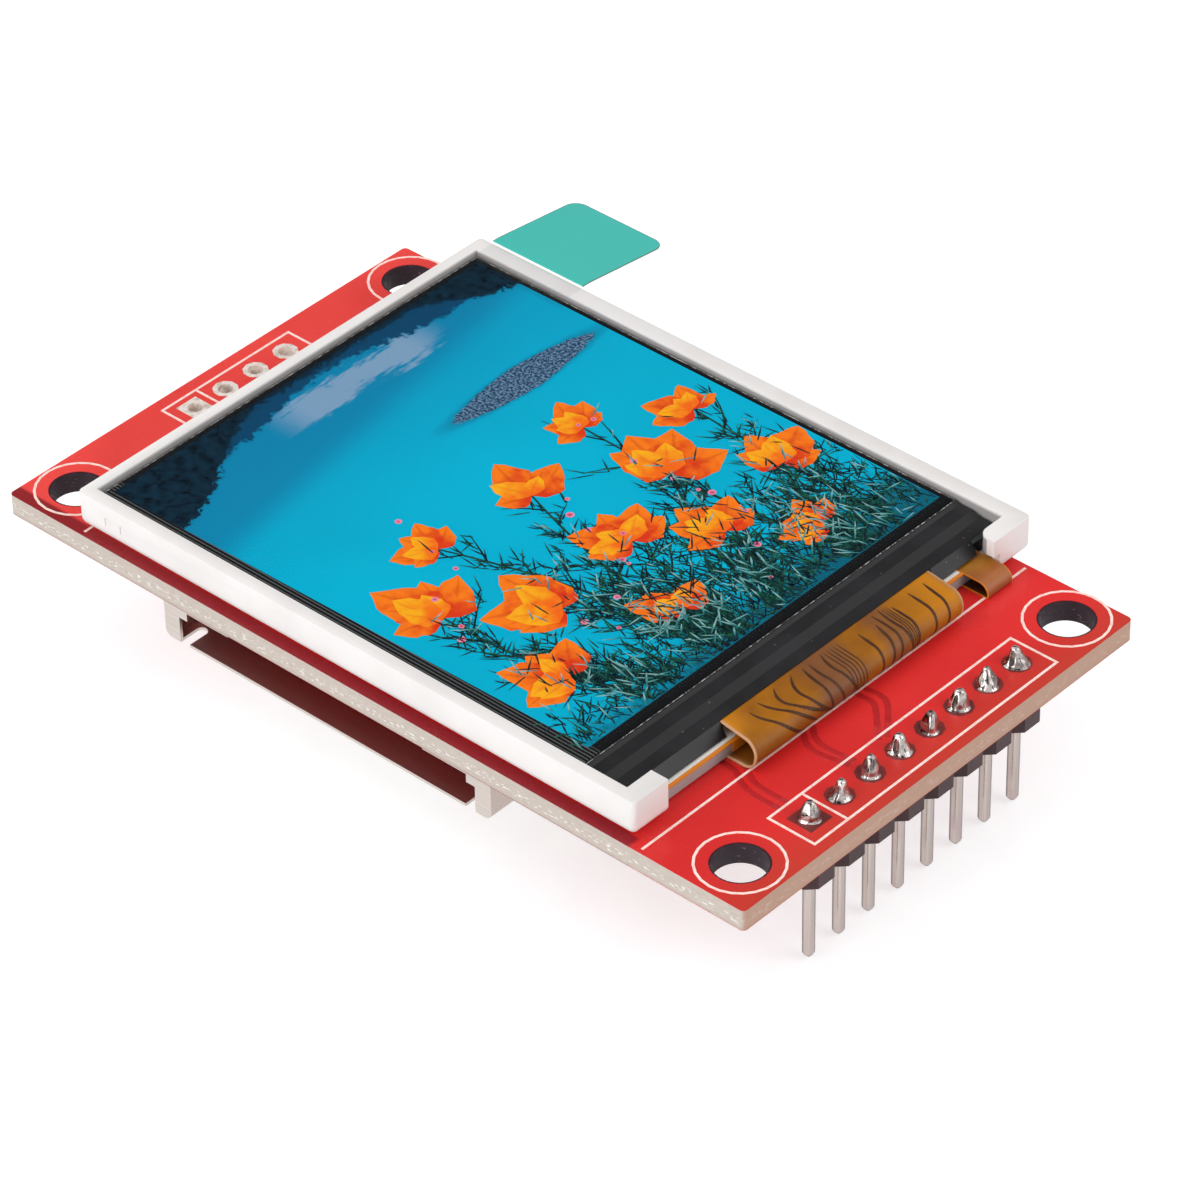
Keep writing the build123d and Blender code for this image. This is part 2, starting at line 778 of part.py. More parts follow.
def make_flex():
    """Display flex, its landing pads on the board and its soldered end under the display."""
    save("display_flex", strip_along_x(flex_path(0), flex_thickness, flex_near_y, flex_far_y))
    joints = []
    pads = []
    centre = (flex_near_y + flex_far_y) / 2
    pad_top = board_top + flex_board_clearance
    joint_top = flex_low_line + flex_thickness / 2
    for y in row_places(centre, flex_joint_count, flex_joint_pitch):
        y0 = y - flex_joint_width / 2
        y1 = y + flex_joint_width / 2
        x0 = flex_end_x - flex_joint_length / 2
        x1 = flex_end_x + flex_joint_length
        pads.append(block(x0, x1, y0, y1, board_top, pad_top))
        joints.append(block(x0, flex_end_x, y0, y1, pad_top, joint_top))
    save("flex_landing_pads", *pads)
    save("flex_solder_joints", *joints)


def make_backlight_flex():
    """Flex strip over the lamps, with a lobe down the rail and a tail that curls under the display."""
    half = lamp_flex_thickness / 2
    line_z = lamp_top + half
    strip_x = rail_outer + half
    strip = block(
        guide_right + lamp_gap,
        strip_x + half,
        lamp_flex_near_y,
        lamp_flex_far_y,
        lamp_top,
        lamp_top + lamp_flex_thickness,
    )
    lobe = block(
        strip_x - half + lamp_flex_thickness / 4,
        strip_x + half + lamp_flex_thickness / 4,
        flex_near_y - lobe_near_lap,
        flex_far_y + lobe_far_lap,
        frame_bottom + half,
        lamp_top + lamp_flex_thickness,
    )
    low_z = board_top + flex_board_clearance + half
    outer_x = frame_right + tail_bulge - half
    path = FilletPolyline(
        (strip_x - tail_bulge, 0, line_z),
        (outer_x, 0, line_z),
        (outer_x, 0, low_z),
        (outer_x - tail_return, 0, low_z),
        radius=[tail_bend_radius, tail_fold_radius],
    )
    tail = strip_along_x(path, lamp_flex_thickness, tail_near_y, tail_near_y + tail_width)
    save("backlight_flex", strip + lobe + tail)
    x0 = guide_right + lamp_gap
    x1 = rail_outer - lamp_gap
    y0 = lamp_flex_near_y + stack_clearance
    y1 = tail_near_y - stack_clearance
    z0 = lamp_top + lamp_flex_thickness
    save("lamp_cover_tape", block(x0, x1, y0, y1, z0, z0 + ledge_tape_thickness))


def make_film_and_tab():
    """Clear film on the screen with a tongue over the frame's far wall, and the green tab stuck on it."""
    film_near = glass_near + film_margin
    film_far = glass_far - film_margin * 3
    sheet = block(
        glass_left + film_margin,
        filter_right - film_margin * 2,
        film_near,
        film_far,
        screen_top,
        screen_top + film_thickness,
    )
    tab_left = frame_left + tab_left_inset
    tab_right = tab_left + tab_width
    half = film_thickness / 2
    tongue_left = glass_left + film_margin
    path = Polyline(
        (0, film_far - film_margin, screen_top + half),
        (0, film_far, screen_top + half),
        (0, window_far, frame_top + half),
        (0, frame_far + tab_film_overlap, frame_top + half),
    )
    tongue = strip_along_y(path, film_thickness, tongue_left, tab_right)
    save("screen_film", sheet + tongue)

    tab_z = frame_top + film_thickness + tab_thickness / 2
    tab_start = frame_far + glass_clearance
    tab_flat_end = frame_far + tab_film_overlap
    tab_end = frame_far + tab_reach
    flat = Line((0, tab_start, tab_z), (0, tab_flat_end, tab_z))
    run = tab_end - tab_flat_end
    bend_radius = (run * run + tab_droop * tab_droop) / (2 * tab_droop)
    turn = math.asin(run / bend_radius)
    mid = (
        0,
        tab_flat_end + bend_radius * math.sin(turn / 2),
        tab_z - bend_radius * (1 - math.cos(turn / 2)),
    )
    droop = ThreePointArc((0, tab_flat_end, tab_z), mid, (0, tab_end, tab_z - tab_droop))
    tab = strip_along_y(Wire([flat.edge(), droop.edge()]), tab_thickness, tab_left, tab_right)
    outline = block(tab_left, tab_right, tab_start, tab_end, frame_bottom, frame_top + tab_droop)
    corners = outline.edges().filter_by(Axis.Z).group_by(Axis.Y)[-1]
    save("pull_tab", tab & fillet(corners, tab_corner_radius))


def make_socket_shell():
    """Stamped sheet cover: a channel with front ears, a post, springs, side windows and solder feet."""
    outer = block(socket_left, socket_right, socket_front, socket_rear, -socket_height, 0)
    low_edges = outer.edges().filter_by(Axis.Y).group_by(Axis.Z)[0]
    outer = fillet(low_edges, sheet_bend_radius)
    inner = block(socket_inner_left, socket_inner_right, socket_front, socket_rear, socket_ceiling, 0)
    inner_edges = inner.edges().filter_by(Axis.Y).group_by(Axis.Z)[0]
    shell = outer - fillet(inner_edges, sheet_bend_radius - sheet_thickness)

    slot_end = socket_front + slot_depth
    for edge, side in ((socket_left, 1), (socket_right, -1)):
        near_x = edge + side * ear_width
        far_x = near_x + side * slot_width
        x0 = min(near_x, far_x)
        slot = block(x0, x0 + slot_width, socket_front, slot_end, -socket_height, socket_ceiling)
        slot += disc(x0 + slot_width / 2, slot_end, slot_width / 2, -socket_height, socket_ceiling)
        shell -= slot
    shell += front_ear(socket_left, 1)
    shell += front_ear(socket_right, -1)
    shell += front_post()

    for dx in spring_offsets:
        x0 = socket_centre_x + dx - spring_width / 2
        x1 = x0 + spring_width
        y0 = spring_rear_y - spring_length
        cut = block(
            x0 - spring_slot,
            x1 + spring_slot,
            y0 - spring_slot,
            spring_rear_y,
            -socket_height,
            socket_ceiling,
        )
        shell -= cut - block(x0, x1, y0, spring_rear_y, -socket_height, socket_ceiling)

    window_z = -socket_height / 2
    for i in range(2):
        y0 = socket_front + post_depth + side_window_pitch * i + side_window_height
        y1 = y0 + side_window_length
        z0 = window_z - side_window_height / 2
        z1 = window_z + side_window_height / 2
        shell -= block(socket_inner_right, socket_right, y0, y1, z0, z1)
        shell -= block(socket_left, socket_inner_left, y0, y1, z0, z1)
    for station in foot_stations:
        y = socket_front + station
        for edge, side in ((socket_left, -1), (socket_right, 1)):
            x0 = min(edge - side * sheet_thickness, edge + side * foot_reach)
            x1 = max(edge - side * sheet_thickness, edge + side * foot_reach)
            shell += block(x0, x1, y - foot_width / 2, y + foot_width / 2, -sheet_thickness, 0)
    save("card_socket_shell", shell)


def front_ear(edge, side):
    """The flange folded across one front corner, with its stepped tongue and thin lip along the board."""
    low = -socket_height
    step_x = edge + side * ear_width
    tongue_x = step_x + side * ear_step
    lip_x = tongue_x + side * lip_length
    outline = Polyline(
        (edge, 0, 0),
        (lip_x, 0, 0),
        (lip_x, 0, -lip_height),
        (tongue_x, 0, -lip_height),
        (tongue_x, 0, -ear_tongue_height),
        (step_x, 0, -ear_tongue_height),
        (step_x, 0, low),
        (edge, 0, low),
        close=True,
    )
    ear = extrude(make_face(outline), sheet_thickness, dir=(0, 1, 0))
    ear = Pos(0, socket_front, 0) * ear
    corner = ear.edges().filter_by(Axis.Y)
    corner = corner.filter_by_position(Axis.Z, low - edge_pick_reach, low + edge_pick_reach)
    corner = corner.sort_by(Axis.X)
    corner = corner[0] if side > 0 else corner[-1]
    return fillet(corner, sheet_bend_radius)


def front_post():
    """The narrow U-folded post beside the right end of the mouth."""
    x1 = socket_right - sheet_thickness
    x0 = x1 - post_width
    y0 = socket_front + sheet_thickness
    y1 = socket_front + post_depth
    post = block(x0, x0 + sheet_thickness, y0, y1, -socket_height, 0)
    return post


def make_socket_base():
    """Black moulding: two side rails, a floor with contact windows, the rear wall and two locating pegs."""
    x0 = socket_inner_left
    x1 = socket_inner_right
    y0 = socket_front + post_depth + sheet_thickness
    y1 = socket_rear
    base = block(x0, x1, y0, y1, socket_ceiling, 0)
    low_edges = base.edges().filter_by(Axis.Y).group_by(Axis.Z)[0]
    base = fillet(low_edges, sheet_bend_radius - sheet_thickness)
    x0 += base_side_width
    x1 -= base_side_width
    base -= block(x0, x1, y0, base_floor_front, socket_ceiling, 0)
    base -= block(x0, x1, base_floor_front, base_rear_front, socket_ceiling, -base_floor_thickness)
    window_front = base_floor_front + sheet_thickness * 2
    window_rear = base_rear_front - sheet_thickness
    for x in contact_xs:
        half = contact_window_width / 2
        base -= block(x - half, x + half, window_front, window_rear, -base_floor_thickness, 0)
        half = contact_width / 2
        base -= block(x - half, x + half, window_rear, y1, -contact_thickness, 0)
    for dx in switch_offsets:
        x = socket_centre_x + dx
        half = switch_width / 2
        base -= block(x - half, x + half, y1 - switch_length, y1, -switch_thickness, 0)
    base += [small_round(x, y, peg_diameter / 2, 0, peg_length) for x, y in peg_places]
    save("card_socket_base", base)


def make_contacts():
    """Sprung card contacts, and the two switch contacts beside the card."""
    half = contact_thickness / 2
    tail_y = socket_rear + contact_tail
    root_y = base_rear_front - sheet_thickness
    tip_y = root_y - contact_arm_length + contact_hook
    path = FilletPolyline(
        (0, tail_y, -half),
        (0, root_y - contact_hook, -half),
        (0, tip_y + contact_hook, -contact_rise),
        (0, tip_y, -contact_rise + contact_hook / 2),
        radius=[contact_hook * 2, contact_hook / 2],
    )
    contacts = []
    for x in contact_xs:
        x0 = x - contact_width / 2
        contacts.append(strip_along_y(path, contact_thickness, x0, x0 + contact_width))
    save("card_contacts", *contacts)
    half = switch_thickness / 2
    for name, dx in zip(("card_detect_contact", "write_protect_contact"), switch_offsets):
        x = socket_centre_x + dx
        line = Line((0, socket_rear + switch_tail, -half), (0, socket_rear - switch_length, -half))
        strip = strip_along_y(line, switch_thickness, x - switch_width / 2, x + switch_width / 2)
        save(name, strip)


def sot_body(place):
    """A three-lead package body with drafted sides."""
    x, y = place
    half_x = sot_width / 2
    half_y = sot_length / 2
    seat = sot_lead_thickness
    body = block(x - half_x, x + half_x, y - half_y, y + half_y, -sot_height, -seat)
    return chamfer(body.faces().sort_by(Axis.Z)[0].edges(), seat)


def sot_leads(place):
    """Gull-wing leads that leave the body half way up and stand on their pads."""
    leads = []
    x, y = place
    half = sot_lead_thickness / 2
    for side, offsets in ((-1, (-sot_lead_pitch, sot_lead_pitch)), (1, (0.0,))):
        for dy in offsets:
            out = x + side * sot_width / 2
            knee = out + side * sot_lead_reach * 0.45
            toe = out + side * (sot_lead_reach + sot_lead_width)
            path = Polyline(
                (out, 0, -sot_height / 2),
                (knee - side * half, 0, -sot_height / 2),
                (knee + side * half, 0, -half),
                (toe, 0, -half),
            )
            y0 = y + dy - sot_lead_width / 2
            leads.append(strip_along_x(path, sot_lead_thickness, y0, y0 + sot_lead_width))
    return leads


def chip_pieces(x, y, length, width, height):
    """A chip part along X: its ceramic body and its two metal end caps."""
    cap = length * cap_share
    body = block(x - length / 2 + cap, x + length / 2 - cap, y - width / 2, y + width / 2, -height, 0)
    ends = [
        block(x - length / 2, x - length / 2 + cap, y - width / 2, y + width / 2, -height, 0),
        block(x + length / 2 - cap, x + length / 2, y - width / 2, y + width / 2, -height, 0),
    ]
    return body, ends


def make_small_parts():
    """Regulator, backlight transistor, capacitors and resistors on the underside."""
    save("voltage_regulator_body", sot_body(regulator_place))
    save("voltage_regulator_leads", *sot_leads(regulator_place))
    save("backlight_transistor_body", sot_body(transistor_place))
    save("backlight_transistor_leads", *sot_leads(transistor_place))
    for name, places, length, width, height in (
        ("capacitor", capacitor_places, capacitor_length, capacitor_width, capacitor_height),
        ("resistor", resistor_places(), resistor_length, resistor_width, resistor_height),
    ):
        bodies = []
        caps = []
        for x, y in places:
            body, ends = chip_pieces(x, y, length, width, height)
            bodies.append(body)
            caps += ends
        save(name + "_bodies", *bodies)
        save(name + "_end_caps", *caps)


os.makedirs("parts", exist_ok=True)
make_board()
make_printed_marks()
make_header()
make_frame()
make_mounting_tape()
make_backlight()
make_glass()
make_ledge_tape()
make_flex()
make_backlight_flex()
make_film_and_tab()
make_socket_shell()
make_socket_base()
make_contacts()
make_small_parts()
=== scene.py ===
"""Small colour display module on a red circuit board: finishes, fine pieces and studio stage."""

from functools import partial

import bmesh
import bpy
import numpy as np
from mathutils import Euler, Matrix, Vector


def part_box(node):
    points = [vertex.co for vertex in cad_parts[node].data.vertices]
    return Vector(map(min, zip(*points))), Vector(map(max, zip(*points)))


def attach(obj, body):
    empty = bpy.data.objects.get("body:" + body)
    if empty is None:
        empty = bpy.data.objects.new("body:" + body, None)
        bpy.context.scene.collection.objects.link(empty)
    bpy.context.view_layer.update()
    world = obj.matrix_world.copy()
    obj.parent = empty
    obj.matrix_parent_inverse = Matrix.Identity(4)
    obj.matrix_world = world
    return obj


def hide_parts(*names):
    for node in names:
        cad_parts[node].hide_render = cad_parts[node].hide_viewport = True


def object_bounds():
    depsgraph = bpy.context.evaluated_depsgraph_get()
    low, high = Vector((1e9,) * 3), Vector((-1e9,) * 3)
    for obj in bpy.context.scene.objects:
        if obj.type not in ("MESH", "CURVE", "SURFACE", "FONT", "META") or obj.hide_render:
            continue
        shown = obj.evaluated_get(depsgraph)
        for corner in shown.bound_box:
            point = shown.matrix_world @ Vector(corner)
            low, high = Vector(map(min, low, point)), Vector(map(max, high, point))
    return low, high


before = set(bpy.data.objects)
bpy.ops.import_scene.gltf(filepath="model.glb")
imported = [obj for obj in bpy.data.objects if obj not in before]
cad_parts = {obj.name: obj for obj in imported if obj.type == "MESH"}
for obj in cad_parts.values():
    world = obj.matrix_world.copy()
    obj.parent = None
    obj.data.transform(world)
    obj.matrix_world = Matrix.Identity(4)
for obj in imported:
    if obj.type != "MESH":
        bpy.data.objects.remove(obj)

bl_info = {
    "name": "Display module dressing",
    "version": (1, 0, 0),
    "blender": (4, 5, 0),
    "location": "View3D > Sidebar > Display module",
    "description": "Adds finishes, screen picture, flex tracks, solder and a studio to the display module",
    "category": "Object",
}

CAD_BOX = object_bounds()
MM = 0.001


def span(node):
    """A CAD node's lowest and highest corners, in millimetres."""
    return [np.array(corner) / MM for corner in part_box(node)]


# Places in millimetres: mounting holes, header, board faces, screen, picture and flex.
HOLE_X, HOLE_Y, HOLE_RADIUS = 25.5, 14.0, 1.6
PIN_PITCH, PIN_COUNT = 2.54, 8
SCREEN_TOP = span("front_polariser")[1][2]
BOARD_TOP = span("solder_mask_front")[1][2]
BOARD_BOTTOM = span("solder_mask_back")[0][2]
PICTURE_X = (-21.35, 14.65)
PICTURE_Y = (-14.75, 15.72)
PICTURE_LIGHT = 0.4
FLEX_Y = (-7.35, 10.5)
FLEX_DRIFT = 0.13
FILM_THICKNESS = 0.05


# Colours and shader nodes


def linear(hex_colour, alpha=1.0):
    """The linear colour of an sRGB hex value."""
    value = int(hex_colour.lstrip("#"), 16)
    channels = np.array([value >> 16 & 255, value >> 8 & 255, value & 255]) / 255.0
    bright = ((channels + 0.055) / 1.055) ** 2.4
    return (*np.where(channels <= 0.04045, channels / 12.92, bright), alpha)


# Short names of nodes: type, the sockets that values go to in turn, settings, and the output to link on.
NODES = {
    "place": ("TexCoord", (), {}, "Object"),
    "own_map": ("UVMap", (), {}, 0),
    "facing": ("NewGeometry", (), {}, "Normal"),
    "ray": ("LightPath", (), {}, ("Is Camera Ray", "Is Glossy Ray", "Is Transmission Ray")),
    "split": ("SeparateXYZ", (0,), {}, (0, 1, 2)),
    "join": ("CombineXYZ", (0, 1, 2), {}, 0),
    "dot": ("VectorMath", (0, 1), {"operation": "DOT_PRODUCT"}, "Value"),
    "stretched": ("Mapping", ("Vector", "Scale"), {}, 0),
    "noise": ("TexNoise", ("Vector", "Scale", "Detail", "Roughness"), {}, 0),
    "cells": ("TexVoronoi", ("Vector", "Scale"), {"feature": "F1"}, 0),
    "step": ("MapRange", (0, 1, 2, 3, 4), {"interpolation_type": "SMOOTHSTEP"}, 0),
    "mix": ("Mix", (0, 6, 7), {"data_type": "RGBA"}, 2),
    "bump": ("Bump", ("Height", "Distance", "Strength"), {}, 0),
    "shader": ("BsdfPrincipled", ("Base Color", "Roughness"), {}, 0),
    "matt": ("BsdfDiffuse", ("Color",), {}, 0),
    "glow": ("Emission", ("Strength", "Color"), {}, 0),
    "both": ("AddShader", (0, 1), {}, 0),
    "background": ("Background", ("Strength", "Color"), {}, 0),
    "surface": ("OutputMaterial", ("Surface",), {}, None),
    "world": ("OutputWorld", ("Surface",), {}, None),
}
MATHS = {
    "plus": "ADD", "minus": "SUBTRACT", "times": "MULTIPLY", "divided": "DIVIDE",
    "times_plus": "MULTIPLY_ADD", "power": "POWER", "root": "SQRT", "absolute": "ABSOLUTE",
    "larger": "MAXIMUM", "sine": "SINE",
}
NODES |= {name: ("Math", (0, 1, 2), {"operation": kind}, 0) for name, kind in MATHS.items()}


def add(tree, kind, *values, sockets=None, **settings):
    """Add one node: values go to its sockets in turn or by name, each a number, a hex colour or a link."""
    node_type, order, fixed, output = NODES[kind]
    made = tree.nodes.new("ShaderNode" + node_type)
    for name, value in {**fixed, **settings}.items():
        setattr(made, name, value)
    for socket, value in (*zip(order, values), *(sockets or {}).items()):
        if isinstance(value, bpy.types.NodeSocket):
            tree.links.new(value, made.inputs[socket])
        else:
            made.inputs[socket].default_value = linear(value) if isinstance(value, str) else value
    if isinstance(output, tuple):
        return [made.outputs[name] for name in output]
    return None if output is None else made.outputs[output]


def emptied(block):
    """Clear a material's or the world's tree and give the function that adds a node to it."""
    block.use_nodes = True
    block.node_tree.nodes.clear()
    return partial(add, block.node_tree)


def start(name):
    """A new material and the function that adds a node to it."""
    material = bpy.data.materials.new(name)
    return material, emptied(material)


def in_mm(node, stretch=(1, 1, 1)):
    """The object's own coordinates in millimetres, each axis multiplied by stretch."""
    return node("stretched", node("place"), tuple(s / MM for s in stretch))


def coats(node, colour, *layers):
    """Colours laid over one another in turn: each layer is (its share, its colour)."""
    for share, over in layers:
        colour = node("mix", share, colour, over)
    return colour


def finish(material, colour, roughness, relief=None, lit=None, **uniform):
    """End a material: relief is (height field, depth in mm, strength), uniform the shader's other values.

    A lit colour is split by that share between the surface and the light behind it, and shows as written."""
    node = partial(add, material.node_tree)
    sockets = {name.replace("_", " "): value for name, value in uniform.items()}
    if relief:
        height, depth, strength = relief
        sockets["Normal"] = node("bump", height, depth * MM, strength)
    if lit:
        sockets |= {"Emission Color": colour, "Emission Strength": lit}
        colour = node("mix", lit, colour, "#000000")
    node("surface", node("shader", colour, roughness, sockets=sockets))
    return material


# Finishes

# Places are in millimetres from the board's middle. A step runs smoothly from 0 to 1, or between its last two
# numbers, while its value goes from the first number to the second. Noise has its cells to the millimetre
# first, then its detail and its roughness.

LACQUER = {"IOR": 1.5, "Specular_IOR_Level": 0.22, "Coat_Weight": 0.05, "Coat_Roughness": 0.1}


def lacquered_mask(board):
    """Solder mask, a screen-printed red lacquer on copper: glossy, a little paler to the spare-hole end, with
    painted shade beside the frame.
    """
    material, node = start("solder_mask_red_lacquer")
    place = in_mm(node)
    x, y, _ = node("split", place)
    # Painted shade: a dark strip along the near edge under the frame, where the frame shades the board.
    rim = node("times", node("step", y, -15.9, -16.2), node("step", x, 20.3, 19.9))
    colour = coats(
        node,
        board.mask_colour,
        (node("step", x, -2.0, -30.0), "#F24A44"),
        (node("step", node("noise", place, 0.12), 0.35, 0.7, 0.0, 0.3), "#B4181A"),
        (node("step", x, 24.0, 29.0, 0.0, 0.6), "#B4422E"),
        (node("times", rim, 0.85), "#7A1420"),
    )
    rough = node("step", node("noise", place, 0.5), 0.2, 0.8, 0.22, 0.32)
    return finish(material, colour, rough, (node("noise", place, 0.35), 0.03, 0.4), **LACQUER)


def trace_under_mask():
    """Copper track under the lacquer: a darker red than the mask all along, cloudy in tone."""
    material, node = start("mask_over_copper_track")
    cloud = node("noise", in_mm(node), 1.5)
    colour = node("mix", cloud, "#B01D20", "#C02427")
    return finish(material, colour, node("step", cloud, 0.0, 1.0, 0.22, 0.36), **LACQUER)


def routed_laminate(board):
    """Glass-epoxy laminate: routed beige edge with pale weave flecks, hole walls painted dark as shade, with
    painted glints.
    """
    material, node = start("glass_epoxy_laminate")
    place = in_mm(node)
    x, y, z = node("split", place)
    off_x = node("minus", node("absolute", x), HOLE_X)
    off_y = node("minus", node("absolute", y), HOLE_Y)
    reach = node("root", node("times_plus", off_x, off_x, node("power", off_y, 2.0)))
    wall = node("step", reach, HOLE_RADIUS + 0.18, HOLE_RADIUS + 0.12)
    # Cloth layers lie flat, so the flecks are long along the edge and thin through it.
    weave = node("noise", node("stretched", place, (1.1, 1.1, 5.0)), 1.6, 3.0, 0.6)
    torn = node("noise", node("stretched", place, (1.0, 1.0, 3.0)), 2.6, 1.0)
    band = node("times", node("step", z, 0.2, 0.45), node("step", z, 0.95, 0.7))
    flecks = node("times", node("step", torn, 0.56, 0.66), band)
    smeared = node("noise", node("stretched", place, (1.0, 1.0, 2.5)), 2.4, 3.0, 0.7)
    # Painted shade in the hole walls, dark purple, with small painted pale glints.
    painted_glint = node("step", smeared, 0.6, 0.7, 0.0, 0.7)
    hole_shade_and_glints = coats(node, "#14060E", (node("noise", place, 1.2), "#341A28"), (painted_glint, "#8E7080"))
    colour = coats(
        node,
        board.laminate_dark,
        (weave, board.laminate_light),
        (node("times", flecks, 0.8), "#F4F1EC"),
        (node("step", z, 0.32, 0.0, 0.0, 0.35), "#A08A80"),
        # Painted shade: the header-end face warmer and darker than the other faces.
        (node("step", x, 28.1, 28.25, 0.0, 0.7), "#BC8A70"),
        (wall, hole_shade_and_glints),
    )
    rough = node("times_plus", wall, -0.15, 0.72)
    return finish(material, colour, rough, (weave, 0.03, 0.6), IOR=1.52, Specular_IOR_Level=0.35)


def printed_ink(board):
    """White legend ink: matt, slightly uneven, pink where the red shows through."""
    material, node = start("legend_ink_white")
    thin = node("step", node("noise", in_mm(node), 3.0, 3.0), 0.35, 0.75)
    colour = node("mix", thin, board.ink_colour, "#F6C9BE")
    return finish(material, colour, node("step", thin, 0.0, 1.0, 0.5, 0.65), IOR=1.45, Specular_IOR_Level=0.3)


def bright_tin(name, light, dark, rough, per_mm=1.5, depth=0.01):
    """Tin or solder: a bright metal with cloudy tarnish and a faintly rippled skin."""
    material, node = start(name)
    place = in_mm(node)
    cloud = node("noise", place, per_mm, 3.0)
    colour = node("mix", node("step", cloud, 0.3, 0.7), light, dark)
    roughness = node("step", cloud, 0.2, 0.8, rough * 0.8, rough * 1.3)
    return finish(material, colour, roughness, (node("noise", place, per_mm * 3), depth, 0.5), Metallic=1.0)


def drawn_pin():
    """Tinned brass pin, drawn through a die: painted shade on one side and along its edges, and darker
    towards the tip.
    """
    material, node = start("pin_drawn_tinned_brass")
    # The pin's own map: u is the distance across its diagonal from the axis, v the height, in millimetres.
    u, v, _ = node("split", node("own_map", uv_map="pin_map"))
    lines = node("noise", in_mm(node, (1.0, 1.0, 0.06)), 5.0)
    tip = span("header_pins")[0][2]
    colour = coats(
        node,
        "#D4CAC4",
        (lines, "#B6A9A2"),
        # Painted shade: one side of the pin's diagonal darker.
        (node("step", u, -0.02, 0.2, 0.0, 0.55), "#A89C98"),
        (node("step", node("noise", in_mm(node), 0.6), 0.45, 0.7, 0.0, 0.4), "#BBA2A6"),
        # Painted shade along both edges of the diagonal; next, the tip darker.
        (node("step", node("absolute", u), 0.26, 0.36, 0.0, 0.8), "#5E5654"),
        (node("step", v, tip + 0.32, tip + 0.1, 0.0, 0.85), "#3E3532"),
    )
    return finish(material, colour, node("step", lines, 0.2, 0.8, 0.18, 0.3), Metallic=1.0)


def moulded(name, colour, darker, rough, per_mm=3.0, depth=0.01, level=0.5):
    """Injection-moulded plastic: nearly even colour with a fine spark-eroded skin."""
    material, node = start(name)
    place = in_mm(node)
    skin = node("noise", place, per_mm, 3.0)
    mixed = node("mix", node("step", node("noise", place, 0.35), 0.3, 0.8), colour, darker)
    roughness = node("step", skin, 0.0, 1.0, rough * 0.85, rough * 1.15)
    return finish(material, mixed, roughness, (skin, depth, 0.4), IOR=1.53, Specular_IOR_Level=level)


def frame_plastic(screen):
    """White polycarbonate, moulded: satin and clean outside, with painted shade down the walls that face the
    glass.
    """
    material, node = start("frame_polycarbonate_white")
    place = in_mm(node)
    x, y, z = node("split", place)
    low, high = span("backlight_frame")
    off_x = node("absolute", node("minus", x, (low[0] + high[0]) / 2))
    near, far = low[1] + 0.8, high[1] - 1.06
    inside = node("times", node("step", y, near - 0.02, near + 0.02), node("step", y, far + 0.02, far - 0.02))
    inside = node("times", inside, node("step", off_x, 20.85, 20.8))
    # Painted shade down the inner walls, darker towards the glass.
    shade = node("times", inside, node("step", z, high[2] - 0.02, high[2] - 0.25, 0.0, 0.7))
    skin = node("noise", place, 2.5, 3.0)
    colour = coats(
        node,
        screen.frame_colour,
        (node("step", node("noise", place, 0.35), 0.3, 0.8), "#E3DFDD"),
        (shade, "#6E6A68"),
    )
    rough = node("step", skin, 0.0, 1.0, 0.32, 0.44)
    return finish(material, colour, rough, (skin, 0.008, 0.4), IOR=1.585, Specular_IOR_Level=0.4)


def black_tape():
    """Light-blocking tape on the glass ledge: charcoal film, soft wrinkles and a few bright specks painted as
    glints.
    """
    material, node = start("ledge_tape_black_film")
    place = in_mm(node)
    cloud = node("noise", place, 0.5, 3.0)
    # Painted glints: a few small bright specks.
    glint_specks = node("times", node("step", node("cells", place, 1.15), 0.075, 0.05), 0.22)
    colour = coats(node, "#101012", (cloud, "#1E1E21"), (glint_specks, "#A9A7A4"))
    rough = node("step", cloud, 0.2, 0.8, 0.34, 0.44)
    wrinkle = (node("noise", place, 0.5), 0.04, 0.4)
    return finish(material, colour, rough, wrinkle, IOR=1.5, Specular_IOR_Level=0.4)


def stamped_steel():
    """Nickel-plated sheet steel, stamped: satin with fine rolling lines across the socket."""
    material, node = start("socket_nickel_sheet")
    lines = node("noise", in_mm(node, (0.25, 4.0, 4.0)), 2.0, 3.0)
    tarnish = node("times", node("noise", in_mm(node), 0.25), 0.3)
    colour = coats(node, "#DED6CF", (lines, "#C4BAB2"), (tarnish, "#9A8D85"))
    rough = node("step", lines, 0.2, 0.8, 0.34, 0.42)
    return finish(material, colour, rough, (lines, 0.003, 0.12), Metallic=1.0)


